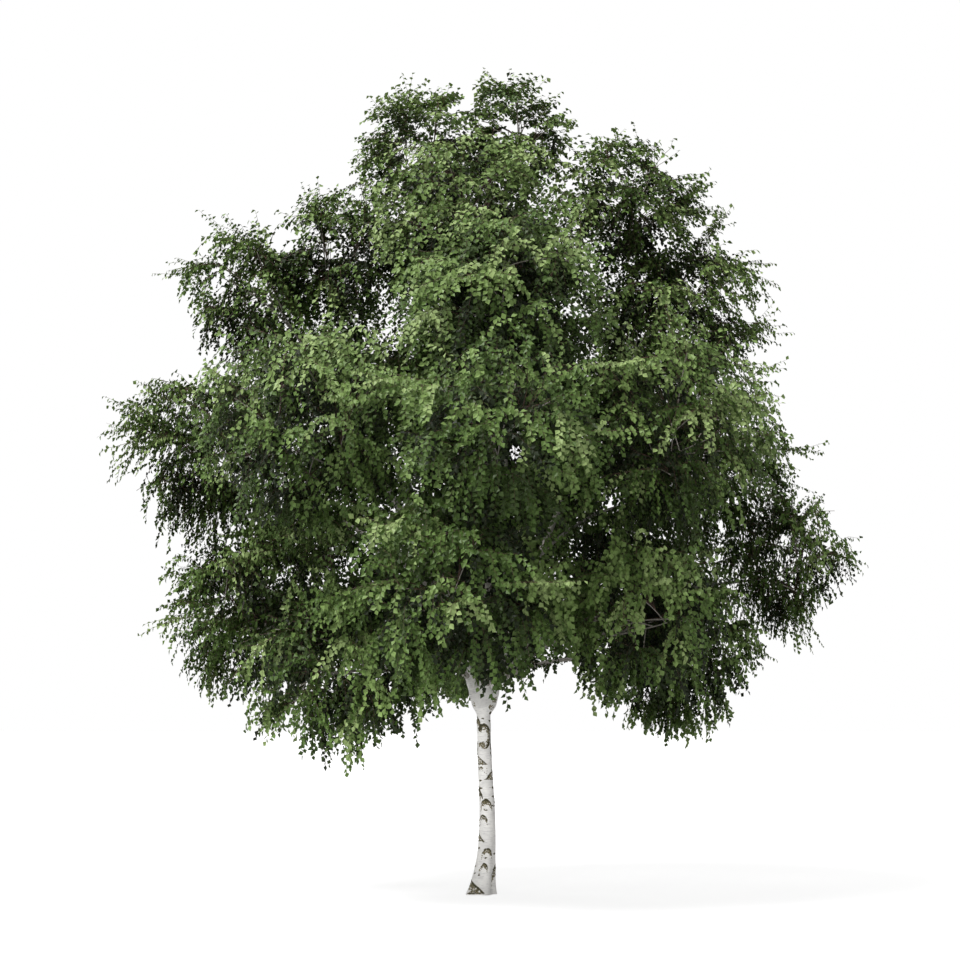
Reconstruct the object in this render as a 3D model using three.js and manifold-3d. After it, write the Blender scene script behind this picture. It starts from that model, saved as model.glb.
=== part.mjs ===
// A broad birch in full leaf: a short white trunk that forks low into five rising leaders,
// side boughs that arch out of the leaders, and a mass of hanging foliage at the end of each.
// Millimetres, +Z up. The origin is the centre of the flat cut under the trunk, at ground level.
import * as THREE from "three";
import { mergeVertices } from "three/addons/utils/BufferGeometryUtils.js";
import Module from "manifold-3d";

const wasm = await Module();
wasm.setup();

// ---------------------------------------------------------------- driving dimensions, mm and degrees
const FORK_HEIGHT = 1930; // top of the trunk, where the leaders part
const TRUNK_RADIUS = 69.5; // at breast height
const TRUNK_SWELL = 55; // widening of the trunk's top under the fork
const FLARE_RADIUS = 66; // widening of the foot at ground level
const FLARE_HEIGHT = 230; // the flare fades over this height
const LEAN = 0.008; // how far the trunk leans to +X over its rise
const BOW = 43; // how far it bows to +X, most at a third of its height
const BOW_HEIGHT = 1750; // and it is straight again above this height
const LEADER_SPACING = 42; // the leaders start this far from the trunk's axis
const LEADER_SUNK = 190; // and this far below its top
const JOINT_GAP = 0.3; // clearance between neighbouring pieces
const LIMB_CLEARANCE = 8; // leaves and twigs keep this far from every limb
const SPACE_CLEARANCE = 12; // and this far from the next mass's space
const SHARE_BEND = 0.16; // arch of a bough, as a share of its length
const BOUGH_RISE = 0.62; // rise of a bough over its run
const ENTRY = 0.78; // a bough ends this share of its mass's radius from the centre
const CROWN_HEART = 4000; // height on the trunk's axis that the foliage faces away from
const CORE_SHARE = 0.66; // size of a mass's dense core, as a share of its radius
const TWIGS_PER_MASS = 8;
const LEAF_SHARE = 0.62; // a leaf blade stands for a hanging spray: its length over its mass's radius
const LEAF_WIDTH = 0.82; // its width over its length
const LEAF_THICKNESS = 0.012; // and its thickness
const LEAF_BROADEST = 0.4; // share of the length from the root to where it is broadest
const SEED = 4.7;

// Each leader: its radius at the fork and at its tip, and the masses it bears, its own tip's first.
// A mass: compass turn from +X, reach of its centre from the trunk's axis, height, and radius.
const LEADERS = {
  centre: {
    radii: [50, 15],
    masses: {
      top: { turn: 20, reach: 290, height: 7560, radius: 800 },
      high_left: { turn: 178, reach: 570, height: 7410, radius: 830 },
      high_right: { turn: 357, reach: 1440, height: 6820, radius: 930 },
      high_front: { turn: 262, reach: 1100, height: 6450, radius: 1050 },
      high_back: { turn: 88, reach: 1150, height: 6550, radius: 1100 },
    },
  },
  left: {
    radii: [52, 14],
    masses: {
      upper_left: { turn: 180, reach: 2270, height: 5950, radius: 880 },
      shoulder_left: { turn: 186, reach: 1330, height: 6270, radius: 920 },
      mid_left: { turn: 178, reach: 2780, height: 4370, radius: 1050 },
      low_left: { turn: 184, reach: 2160, height: 2820, radius: 1100 },
      upper_left_back: { turn: 132, reach: 1950, height: 5050, radius: 1250 },
      low_left_back: { turn: 136, reach: 2300, height: 3200, radius: 1220 },
      low_left_front: { turn: 226, reach: 1840, height: 2270, radius: 1090 },
    },
  },
  right: {
    radii: [52, 14],
    masses: {
      upper_right: { turn: 2, reach: 1950, height: 5800, radius: 1090 },
      mid_right: { turn: 8, reach: 2150, height: 4280, radius: 1120 },
      wide_right: { turn: 356, reach: 2930, height: 3270, radius: 830 },
      low_right: { turn: 345, reach: 1940, height: 2390, radius: 940 },
      upper_right_back: { turn: 50, reach: 1900, height: 5000, radius: 1250 },
      low_right_back: { turn: 46, reach: 2250, height: 3150, radius: 1200 },
    },
  },
  front: {
    radii: [44, 13],
    masses: {
      upper_front: { turn: 276, reach: 1750, height: 5500, radius: 1150 },
      mid_front_left: { turn: 226, reach: 2300, height: 4350, radius: 1200 },
      mid_front_right: { turn: 318, reach: 2250, height: 4350, radius: 1200 },
      mid_front: { turn: 273, reach: 2420, height: 4200, radius: 1080 },
      low_front: { turn: 264, reach: 2200, height: 2840, radius: 1150 },
      low_front_right: { turn: 314, reach: 2060, height: 2690, radius: 1000 },
    },
  },
  back: {
    radii: [46, 13],
    masses: {
      upper_back: { turn: 92, reach: 1750, height: 5450, radius: 1200 },
      mid_back: { turn: 84, reach: 2350, height: 4250, radius: 1250 },
      low_back: { turn: 94, reach: 2250, height: 3000, radius: 1180 },
    },
  },
};

const BARK = new THREE.MeshStandardMaterial({ color: 0xd8d5cf, roughness: 0.75, metalness: 0 });
const BOUGH_BARK = new THREE.MeshStandardMaterial({ color: 0xa39c92, roughness: 0.8, metalness: 0 });
const FOLIAGE = new THREE.MeshStandardMaterial({ color: 0x4b6b34, roughness: 0.6, metalness: 0 });

// ---------------------------------------------------------------- small helpers
const UP = new THREE.Vector3(0, 0, 1);
const GOLDEN_ANGLE = Math.PI * (3 - Math.sqrt(5));
const radians = THREE.MathUtils.degToRad;
const vector = (x, y, z) => new THREE.Vector3(x, y, z);
const between = (a, b, share) => a.clone().lerp(b, share);

// A seeded draw in 0..1 that depends only on its keys, so that it is the same in any order of work.
function chance(...keys) {
  const mixed = keys.reduce((sum, key, place) => sum + key * (12.9898 + 65.243 * place), SEED);
  const wave = Math.sin(mixed) * 43758.5453;
  return wave - Math.floor(wave);
}

function solidFrom(geometry) {
  const bare = geometry.clone();
  bare.deleteAttribute("normal");
  bare.deleteAttribute("uv");
  const merged = mergeVertices(bare, 1e-3);
  return new wasm.Manifold(
    new wasm.Mesh({
      numProp: 3,
      vertProperties: merged.attributes.position.array,
      triVerts: new Uint32Array(merged.index.array),
    }),
  );
}

function geometryFrom(solid) {
  const { vertProperties, triVerts } = solid.getMesh();
  return new THREE.BufferGeometry()
    .setAttribute("position", new THREE.BufferAttribute(vertProperties, 3))
    .setIndex(new THREE.BufferAttribute(triVerts, 1));
}

// The largest closed body of a solid: loose scraps are dropped and sealed hollows are filled.
const largestBody = (solid) =>
  solid.decompose().reduce((best, body) => (body.volume() > best.volume() ? body : best));

const node = (name, solid, material) => {
  const mesh = new THREE.Mesh(geometryFrom(solid), material);
  mesh.name = name;
  return mesh;
};

// Moves each vertex of a unit cylinder or cone, of height 1 along Y, to pointAt(t, angle, out):
// t runs 0..1 along the limb, and out is 0 on the axis and 1 on the wall.
function swept(unit, pointAt) {
  const { position } = unit.attributes;
  for (let i = 0; i < position.count; i += 1) {
    const out = Math.hypot(position.getX(i), position.getZ(i)) > 1e-6 ? 1 : 0;
    const angle = Math.atan2(position.getZ(i), position.getX(i));
    const point = pointAt(position.getY(i) + 0.5, angle, out);
    position.setXYZ(i, point.x, point.y, point.z);
  }
  return solidFrom(unit);
}

// A limb with round sections square to its curve. radiusAt(t) gives the taper.
function limbSolid(curve, radiusAt, unit, steps) {
  const { tangents, normals } = curve.computeFrenetFrames(steps, false);
  return swept(unit, (t, angle, out) => {
    const step = Math.round(t * steps);
    const across = vector(0, 0, 0).crossVectors(normals[step], tangents[step]);
    return curve
      .getPointAt(t)
      .addScaledVector(normals[step], out * radiusAt(t) * Math.cos(angle))
      .addScaledVector(across, out * radiusAt(t) * Math.sin(angle));
  });
}

const roundLimb = (curve, radiusAt, sides, steps) =>
  limbSolid(curve, radiusAt, new THREE.CylinderGeometry(1, 1, 1, sides, steps), steps);

// ---------------------------------------------------------------- trunk
const TRUNK_SIDES = 14;
const TRUNK_STEPS = 13;
const ROOT_TOES = 5;
const BREAST_HEIGHT = 1300;

// The trunk's axis: a slight lean to +X, and a bow in its lower half.
function trunkAxis(z) {
  const share = Math.min(1, z / BOW_HEIGHT) ** 0.67;
  return vector(LEAN * z + BOW * Math.sin(Math.PI * share) ** 2, 0, z);
}

// Its radius: a slow taper, a foot that flares into toes, the longest at -X, and a swell at the fork.
function trunkRadius(z, angle) {
  const taper = TRUNK_RADIUS * (1.16 - (0.16 * z) / BREAST_HEIGHT);
  const toes = 1 + 0.3 * Math.cos(ROOT_TOES * angle) - 0.35 * Math.cos(angle);
  const flare = FLARE_RADIUS * Math.exp(-z / FLARE_HEIGHT) * toes;
  const swell = TRUNK_SWELL * Math.max(0, 1 - (FORK_HEIGHT - z) / 240) ** 2;
  return taper + flare + swell;
}

function trunkSolid(extra) {
  const unit = new THREE.CylinderGeometry(1, 1, 1, TRUNK_SIDES, TRUNK_STEPS);
  return swept(unit, (t, angle, out) => {
    const z = t ** 1.25 * FORK_HEIGHT; // rings lie closer together in the flare
    const radius = out * (trunkRadius(z, angle) + extra);
    const lift = t === 1 ? extra : 0;
    return trunkAxis(z).add(vector(radius * Math.cos(angle), -radius * Math.sin(angle), lift));
  });
}

// ---------------------------------------------------------------- spaces of the masses
const masses = Object.entries(LEADERS).flatMap(([leader, { masses: borne }]) =>
  Object.entries(borne).map(([name, { turn, reach, height, radius }], rank) => ({
    name,
    leader,
    rank,
    radius,
    centre: vector(reach * Math.cos(radians(turn)), reach * Math.sin(radians(turn)), height),
  })),
);
masses.forEach((mass, index) => {
  mass.index = index;
});

// Two round spaces that cross share a flat border through the circle where they meet, so that
// a point lies in a mass's own space if it is nearer to it than to any other by that measure.
function inSpace(mass, point, margin = SPACE_CLEARANCE) {
  const own = point.distanceToSquared(mass.centre) - mass.radius ** 2;
  return (
    own <= 0 &&
    masses.every((other) => {
      if (other === mass) return true;
      const apart = other.centre.distanceTo(mass.centre);
      const theirs = point.distanceToSquared(other.centre) - other.radius ** 2;
      return theirs - own >= 2 * apart * margin;
    })
  );
}

// Where a bough from "from" ends: on its way to the mass's centre, just inside the mass's space.
function entryPoint(mass, from) {
  const back = from.clone().sub(mass.centre).normalize();
  let share = ENTRY;
  const at = () => mass.centre.clone().addScaledVector(back, share * mass.radius);
  while (share > 0.1 && !inSpace(mass, at())) share -= 0.05;
  return at();
}

// ---------------------------------------------------------------- leaders and boughs
const forkTop = trunkAxis(FORK_HEIGHT);

// A leader leaves the trunk's top near its side, rises steeply and leans out to its tip's mass.
function leaderCurve(leader) {
  const tipMass = masses.find((mass) => mass.leader === leader && mass.rank === 0);
  const outward = tipMass.centre.clone().setZ(0).normalize();
  const spacing = leader === "centre" ? 0 : LEADER_SPACING;
  const start = forkTop.clone().addScaledVector(outward, spacing);
  start.z -= LEADER_SUNK;
  const tip = entryPoint(tipMass, vector(start.x, start.y, FORK_HEIGHT + 1500));
  const length = start.distanceTo(tip);
  return new THREE.CubicBezierCurve3(
    start,
    start.clone().addScaledVector(outward, 0.07 * length).addScaledVector(UP, 0.3 * length),
    between(start, tip, 0.62).addScaledVector(UP, 0.08 * length),
    tip,
  );
}

const taper = ([base, tip]) => (t) => base + (tip - base) * t ** 0.85;

const LEADER_SIDES = 6;
const LEADER_STEPS = 7;
const leaders = Object.fromEntries(
  Object.entries(LEADERS).map(([name, { radii }]) => [
    name,
    { curve: leaderCurve(name), radiusAt: taper(radii) },
  ]),
);

// A bough leaves its leader where it can climb to its tip at the birch's own rise, and arches over.
function boughFor(mass) {
  const { curve, radiusAt } = leaders[mass.leader];
  const steepness = (t) => {
    const from = curve.getPointAt(t);
    const tip = entryPoint(mass, from);
    const run = Math.hypot(tip.x - from.x, tip.y - from.y);
    return Math.abs(tip.z - from.z - BOUGH_RISE * run);
  };
  const choices = Array.from({ length: 41 }, (_, i) => 0.09 + (0.81 * i) / 40);
  const leave = choices.reduce((best, t) => (steepness(t) < steepness(best) ? t : best));
  const from = curve.getPointAt(leave);
  const tip = entryPoint(mass, from);
  const length = from.distanceTo(tip);
  const arch = between(from, tip, 0.5).addScaledVector(UP, SHARE_BEND * length);
  const base = Math.min(0.62 * radiusAt(leave), 14 + 0.011 * length);
  return {
    curve: new THREE.QuadraticBezierCurve3(from, arch, tip),
    radiusAt: taper([base, 0.55 * base]),
  };
}

const BOUGH_SIDES = 5;
const BOUGH_STEPS = 4;
const limbs = [{ name: "trunk", solid: trunkSolid(0), grown: trunkSolid(JOINT_GAP) }];

// What foliage keeps out of: the limb grown all round, and past its tip.
function clearanceOf(curve, radiusAt, sides, steps) {
  const tip = curve.getPointAt(1);
  const beyond = tip.clone().addScaledVector(curve.getTangentAt(1), LIMB_CLEARANCE);
  const along = roundLimb(curve, (t) => radiusAt(t) + LIMB_CLEARANCE, sides, steps);
  const end = roundLimb(new THREE.LineCurve3(tip, beyond), () => radiusAt(1) + LIMB_CLEARANCE, 6, 1);
  return along.add(end);
}

// Each limb is cut clear of every earlier one that it springs from.
function addLimb(name, { curve, radiusAt }, sides, steps, parents) {
  const whole = roundLimb(curve, radiusAt, sides, steps);
  const cut = limbs
    .filter((limb) => parents.includes(limb.name))
    .reduce((rest, limb) => rest.subtract(limb.grown), whole);
  limbs.push({
    name,
    curve,
    radiusAt,
    solid: largestBody(cut),
    grown: roundLimb(curve, (t) => radiusAt(t) + JOINT_GAP, sides, steps),
    clear: clearanceOf(curve, radiusAt, sides, steps),
  });
}

for (const [name, leader] of Object.entries(leaders)) {
  const earlier = limbs.map((limb) => limb.name);
  addLimb(`leader_${name}`, leader, LEADER_SIDES, LEADER_STEPS, earlier);
}
for (const mass of masses) {
  if (mass.rank === 0) {
    mass.limb = leaders[mass.leader];
  } else {
    mass.limb = boughFor(mass);
    const earlier = limbs.map((limb) => limb.name);
    addLimb(`bough_${mass.name}`, mass.limb, BOUGH_SIDES, BOUGH_STEPS, earlier);
  }
}
const keepOut = wasm.Manifold.union(
  limbs.map((limb) => limb.clear ?? trunkSolid(LIMB_CLEARANCE)),
);

// ---------------------------------------------------------------- foliage
const REACH_SHARE = 0.985; // the outermost leaves end this share of the way to the space's edge
const TWIG_RADII = [18, 14]; // at the stem and at the end
const LEAF_LIFT = 0.42; // how far a leaf stands off the mass, over how far it lies along it
const LEAF_FAN = [0, 118, -118]; // degrees between a twig's leaves, the first one hanging
const LEAF_SPACING = 0.08; // share of the twig between one leaf's root and the next
const LEAF_TURNS = [0, 0.35, -0.35, 0.7]; // a leaf that meets another is turned aside
const SIMPLIFY = 0.05; // edges shorter than this are closed up after fusing

// How far a mass's space reaches from its centre along a heading.
function spaceAlong(mass, heading) {
  let reach = mass.radius;
  while (!inSpace(mass, mass.centre.clone().addScaledVector(heading, reach))) reach -= 10;
  return reach;
}

// The stem carries on from the limb's tip through the mass's centre, and droops to its far side.
function stemFor(mass) {
  const tip = mass.limb.curve.getPointAt(1);
  const heading = mass.limb.curve.getTangentAt(1);
  const outward = mass.centre.clone().setZ(0).normalize();
  const end = mass.centre.clone().addScaledVector(outward, 0.42 * mass.radius);
  end.z += (mass.rank === 0 ? 0.22 : -0.12) * mass.radius;
  const start = tip.clone().addScaledVector(heading, JOINT_GAP);
  const bend = start.clone().addScaledVector(heading, 0.5 * start.distanceTo(end));
  return {
    curve: new THREE.QuadraticBezierCurve3(start, bend, end),
    radiusAt: taper([mass.limb.radiusAt(1), 8]),
  };
}

// Headings spread evenly over a mass, from straight out of the crown to a little behind its sides.
function headingFor(mass, i) {
  const pole = mass.centre.clone().setZ(mass.centre.z - CROWN_HEART).normalize();
  const level = 1 - (1.5 * (i + 0.3)) / TWIGS_PER_MASS;
  const turn = i * GOLDEN_ANGLE + 2 * Math.PI * chance(mass.index, 1);
  const first = vector(0, 0, 0).crossVectors(pole, vector(0.31, 0.95, 0)).normalize();
  const second = vector(0, 0, 0).crossVectors(pole, first);
  const flat = Math.sqrt(1 - level * level);
  return pole
    .multiplyScalar(level)
    .addScaledVector(first, flat * Math.cos(turn))
    .addScaledVector(second, flat * Math.sin(turn));
}

// A twig leaves the stem and arches out, ending where its leaves can still reach the space's edge.
function twigFor(mass, stem, i) {
  const heading = headingFor(mass, i);
  const edge = REACH_SHARE * spaceAlong(mass, heading);
  const spread = (LEAF_SHARE * mass.radius) / Math.hypot(1, LEAF_LIFT);
  const reach = Math.sqrt(Math.max(0, edge ** 2 - spread ** 2)) - LEAF_LIFT * spread;
  const end = mass.centre.clone().addScaledVector(heading, Math.max(reach, 0.3 * edge));
  const leave = 0.1 + 0.85 * ((i * 0.618 + chance(mass.index, 3)) % 1);
  const start = stem.curve.getPointAt(leave);
  return { curve: new THREE.LineCurve3(start, end), radiusAt: taper(TWIG_RADII), heading, i };
}

// A blade of six faces: a flat pyramid drawn out to a birch leaf's outline, broad near its base.
function leafSolid(root, along, facing, length) {
  const across = vector(0, 0, 0).crossVectors(facing, along).normalize();
  const normal = vector(0, 0, 0).crossVectors(along, across);
  const blade = new THREE.ConeGeometry(1, 1, 4, 1);
  const { position } = blade.attributes;
  for (let i = 0; i < position.count; i += 1) {
    const [x, y, z] = [position.getX(i), position.getY(i), position.getZ(i)];
    const share = z > 0.5 ? 1 : z < -0.5 ? 0 : LEAF_BROADEST;
    const point = root
      .clone()
      .addScaledVector(along, share * length)
      .addScaledVector(across, (x * LEAF_WIDTH * length) / 2)
      .addScaledVector(normal, (y + 0.5) * LEAF_THICKNESS * length);
    position.setXYZ(i, point.x, point.y, point.z);
  }
  return solidFrom(blade);
}

// A twig's leaves fan out round its end and lie along the mass like shingles, the first hanging down.
function leafFor(mass, twig, place, turnedBy) {
  const root = twig.curve.getPointAt(0.97 - LEAF_SPACING * place);
  const hanging = mass.centre.clone().setZ(0).normalize().multiplyScalar(0.5).sub(UP);
  hanging.projectOnPlane(twig.heading).normalize();
  const aside = vector(0, 0, 0).crossVectors(twig.heading, hanging);
  const turn = radians(LEAF_FAN[place]) + 0.6 * (chance(mass.index, twig.i, place) - 0.5) + turnedBy;
  const along = twig.heading
    .clone()
    .multiplyScalar(LEAF_LIFT)
    .addScaledVector(hanging, Math.cos(turn))
    .addScaledVector(aside, Math.sin(turn))
    .normalize();
  return leafSolid(root, along, twig.heading, LEAF_SHARE * mass.radius);
}

function cornersInside(mass, solid) {
  const { vertProperties, numVert } = solid.getMesh();
  return Array.from({ length: numVert }, (_, i) =>
    vector(...vertProperties.subarray(3 * i, 3 * i + 3)),
  ).every((corner) => inSpace(mass, corner));
}

const fits = (mass, solid, neighbours) =>
  cornersInside(mass, solid) && [keepOut, ...neighbours].every((n) => solid.intersect(n).isEmpty());

// The dense middle of a mass: a faceted ball with soft lumps, drawn in to stay in the mass's space.
function coreSolid(mass) {
  const ball = new THREE.DodecahedronGeometry(1, 0);
  const { position } = ball.attributes;
  for (let i = 0; i < position.count; i += 1) {
    const heading = vector(position.getX(i), position.getY(i), position.getZ(i));
    const lump = 1 + 0.1 * Math.sin(4 * heading.x + 5 * heading.y - 3 * heading.z + mass.index);
    const reach = Math.min(CORE_SHARE * mass.radius * lump, 0.95 * spaceAlong(mass, heading));
    const point = mass.centre.clone().addScaledVector(heading, reach);
    position.setXYZ(i, point.x, point.y, point.z);
  }
  return solidFrom(ball).subtract(keepOut);
}

// One mass: a stem, the core round it, and the twigs and leaves that have room.
function foliageSolid(mass) {
  const stem = stemFor(mass);
  const stemSolid = roundLimb(stem.curve, stem.radiusAt, 4, 2);
  const twigs = Array.from({ length: TWIGS_PER_MASS }, (_, i) => twigFor(mass, stem, i));
  for (const twig of twigs) twig.solid = roundLimb(twig.curve, twig.radiusAt, 3, 1);
  const grown = twigs.filter((twig) => fits(mass, twig.solid, []));
  const leaves = [];
  for (const twig of grown) {
    const others = grown.filter((other) => other !== twig).map((other) => other.solid);
    LEAF_FAN.forEach((_, place) => {
      const tries = LEAF_TURNS.map((turnedBy) => leafFor(mass, twig, place, turnedBy));
      const leaf = tries.find((blade) => fits(mass, blade, [...leaves, ...others]));
      if (leaf) leaves.push(leaf);
    });
  }
  const twigSolids = grown.map((twig) => twig.solid);
  const joined = wasm.Manifold.union([coreSolid(mass), stemSolid, ...twigSolids, ...leaves]);
  return largestBody(joined).simplify(SIMPLIFY);
}

// ---------------------------------------------------------------- the tree
const tree = new THREE.Group();
for (const { name, solid } of limbs) {
  tree.add(node(name, solid, name.startsWith("bough") ? BOUGH_BARK : BARK));
}
for (const mass of masses) tree.add(node(`foliage_${mass.name}`, foliageSolid(mass), FOLIAGE));

export default tree;
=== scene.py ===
# %% [markdown]
# # A broad birch in full leaf
#
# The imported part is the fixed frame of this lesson: a trunk, five leaders, a bough for each mass
# of foliage, and the masses themselves as coarse solids. Here each of them gets its real surface.
# The limbs become fine tubes with the relief of birch bark, and each mass becomes what it stands
# for: a stem, twigs, branchlets and hanging shoots, with more than a quarter of a million leaves.
#
# Everything is in metres, with Z up, and with the origin in the middle of the trunk's foot.

# %% Load the frame
import math
from itertools import product

import bpy
import numpy as np
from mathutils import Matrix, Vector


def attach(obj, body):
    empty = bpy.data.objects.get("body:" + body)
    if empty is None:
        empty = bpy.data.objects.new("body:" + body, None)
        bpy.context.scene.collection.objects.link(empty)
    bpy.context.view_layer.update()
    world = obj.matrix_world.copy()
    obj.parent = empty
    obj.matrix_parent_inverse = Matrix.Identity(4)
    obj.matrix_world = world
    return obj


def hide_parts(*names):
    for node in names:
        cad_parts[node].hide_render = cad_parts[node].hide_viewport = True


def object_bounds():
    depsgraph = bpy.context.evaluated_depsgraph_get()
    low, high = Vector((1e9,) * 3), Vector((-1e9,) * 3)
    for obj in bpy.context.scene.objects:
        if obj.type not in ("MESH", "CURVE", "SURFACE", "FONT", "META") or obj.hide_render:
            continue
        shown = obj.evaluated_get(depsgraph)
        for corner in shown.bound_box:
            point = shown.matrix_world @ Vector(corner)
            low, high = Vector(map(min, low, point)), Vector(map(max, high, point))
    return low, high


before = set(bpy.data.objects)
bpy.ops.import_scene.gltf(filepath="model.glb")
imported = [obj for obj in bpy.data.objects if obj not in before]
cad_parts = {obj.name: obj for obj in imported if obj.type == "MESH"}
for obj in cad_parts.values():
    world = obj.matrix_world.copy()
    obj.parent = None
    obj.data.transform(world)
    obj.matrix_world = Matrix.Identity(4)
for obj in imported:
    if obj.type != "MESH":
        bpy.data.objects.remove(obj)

cad_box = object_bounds()
node_names = sorted(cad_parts)
print(len(node_names), "solids in the frame, box", [tuple(round(v, 3) for v in c) for c in cad_box])

# %% [markdown]
# ## The plan of the crown
#
# A birch this old has lost its single top: the trunk parts low into a few leaders, each leader
# bears boughs, and each bough ends in a rounded mass of foliage. The masses are what the eye sees,
# so the plan says where each one is: its turn round the trunk, its reach from the trunk's axis, its
# height and its radius. The limbs are then worked out from the masses, by the same rule as in the
# solids, so that the dressed limbs lie where the solids do.

# %% Driving dimensions and the plan
FORK_HEIGHT = 1.930
TRUNK_RADIUS = 0.0695  # at breast height
BREAST_HEIGHT = 1.300
TRUNK_SWELL = 0.055  # widening of the trunk's top under the fork
FLARE_RADIUS = 0.066  # widening of the foot at ground level
FLARE_HEIGHT = 0.230
LEAN = 0.008  # how far the trunk leans to +X over its rise
BOW = 0.043  # how far it bows to +X, most at a third of its height
BOW_HEIGHT = 1.750  # and it is straight again above this height
LEADER_SPACING = 0.042
LEADER_SUNK = 0.190
SHARE_BEND = 0.16  # arch of a bough, as a share of its length
BOUGH_RISE = 0.62  # rise of a bough over its run
ENTRY = 0.78  # a bough ends this share of its mass's radius from the centre
CROWN_HEART = 4.0  # height that the foliage faces away from
SPACE_CLEARANCE = 0.012
TWIGS_PER_MASS = 8
SEED = 4.7

# Each leader: its radius at the fork and at its tip, and its masses, the tip's own first, each as
# (turn in degrees, reach, height, radius).
LEADERS = {
    "centre": (0.050, 0.015, {
        "top": (20, 0.290, 7.560, 0.800),
        "high_left": (178, 0.570, 7.410, 0.830),
        "high_right": (357, 1.440, 6.820, 0.930),
        "high_front": (262, 1.100, 6.450, 1.050),
        "high_back": (88, 1.150, 6.550, 1.100),
    }),
    "left": (0.052, 0.014, {
        "upper_left": (180, 2.270, 5.950, 0.880),
        "shoulder_left": (186, 1.330, 6.270, 0.920),
        "mid_left": (178, 2.780, 4.370, 1.050),
        "low_left": (184, 2.160, 2.820, 1.100),
        "upper_left_back": (132, 1.950, 5.050, 1.250),
        "low_left_back": (136, 2.300, 3.200, 1.220),
        "low_left_front": (226, 1.840, 2.270, 1.090),
    }),
    "right": (0.052, 0.014, {
        "upper_right": (2, 1.950, 5.800, 1.090),
        "mid_right": (8, 2.150, 4.280, 1.120),
        "wide_right": (356, 2.930, 3.270, 0.830),
        "low_right": (345, 1.940, 2.390, 0.940),
        "upper_right_back": (50, 1.900, 5.000, 1.250),
        "low_right_back": (46, 2.250, 3.150, 1.200),
    }),
    "front": (0.044, 0.013, {
        "upper_front": (276, 1.750, 5.500, 1.150),
        "mid_front_left": (226, 2.300, 4.350, 1.200),
        "mid_front_right": (318, 2.250, 4.350, 1.200),
        "mid_front": (273, 2.420, 4.200, 1.080),
        "low_front": (264, 2.200, 2.840, 1.150),
        "low_front_right": (314, 2.060, 2.690, 1.000),
    }),
    "back": (0.046, 0.013, {
        "upper_back": (92, 1.750, 5.450, 1.200),
        "mid_back": (84, 2.350, 4.250, 1.250),
        "low_back": (94, 2.250, 3.000, 1.180),
    }),
}

masses = []
for leader_name, (_, _, borne) in LEADERS.items():
    for rank, (mass_name, (turn, reach, height, radius)) in enumerate(borne.items()):
        turn = math.radians(turn)
        masses.append({
            "name": mass_name, "leader": leader_name, "rank": rank, "radius": radius,
            "index": len(masses),
            "centre": np.array([reach * math.cos(turn), reach * math.sin(turn), height]),
        })
CENTRES = np.array([mass["centre"] for mass in masses])
RADII = np.array([mass["radius"] for mass in masses])
print(len(LEADERS), "leaders bear", len(masses), "masses")

# %% [markdown]
# ## Whose space is it
#
# Neighbouring masses would grow through each other if each were simply a ball. Two balls that
# cross share a flat border through the circle where they meet. A point then belongs to the ball
# that it is nearer to by the measure distance squared less radius squared. Along a straight line
# from a mass's centre that measure is linear, so how far the space reaches needs no search.

# %% Spaces of the masses
def unit(v):
    return v / np.maximum(np.linalg.norm(v, axis=-1, keepdims=True), 1e-12)


def chance(*keys):
    """A seeded draw in 0..1 that depends only on its keys."""
    wave = math.sin(SEED + sum(k * (12.9898 + 65.243 * i) for i, k in enumerate(keys))) * 43758.5453
    return wave - math.floor(wave)


def inside(home, points, margin=SPACE_CLEARANCE, swell=1.0):
    """True for each point that lies in its home mass's space."""
    centre = CENTRES[home]
    own = ((points - centre) ** 2).sum(-1) - RADII[home] ** 2
    theirs = ((points[:, None] - CENTRES) ** 2).sum(-1) - RADII**2
    apart = np.linalg.norm(centre[:, None] - CENTRES, axis=-1)
    free = (theirs - own[:, None] >= 2 * apart * margin - 1e-9) | (apart == 0)
    within = ((points - centre) ** 2).sum(-1) <= (swell * RADII[home]) ** 2
    return within & free.all(1)


def reach_along(m, headings, margin=SPACE_CLEARANCE):
    """How far mass m's space reaches from its centre along each heading."""
    gap = CENTRES[m] - CENTRES
    apart = np.linalg.norm(gap, axis=1)
    others = apart > 0
    closing = -headings @ gap[others].T
    limit = apart[others] ** 2 - RADII[others] ** 2 + RADII[m] ** 2 - 2 * apart[others] * margin
    reach = np.where(closing > 1e-9, limit / (2 * np.maximum(closing, 1e-9)), np.inf)
    return np.minimum(reach.min(1), RADII[m])


def entry_point(mass, start):
    """Where a bough from start ends, just inside the mass's space."""
    back = unit(start - mass["centre"])
    share = ENTRY
    home = np.array([mass["index"]])
    while share > 0.1 and not inside(home, (mass["centre"] + back * share * mass["radius"])[None])[0]:
        share -= 0.05
    return mass["centre"] + back * share * mass["radius"]


# %% [markdown]
# ## Centrelines
#
# A limb is a smooth curve with a radius that tapers along it. A Bezier curve suits wood, because
# its first handle sets the angle at which the limb leaves its parent and the last one how it ends.
# Points are asked for by the share of the length walked, so that rings of the finished tube are
# evenly spaced.

# %% Limbs as curves
UP = np.array([0.0, 0.0, 1.0])


def bezier(controls, share):
    points = list(controls)
    while len(points) > 1:
        points = [a + (b - a) * share for a, b in zip(points, points[1:])]
    return points[0]


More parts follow.
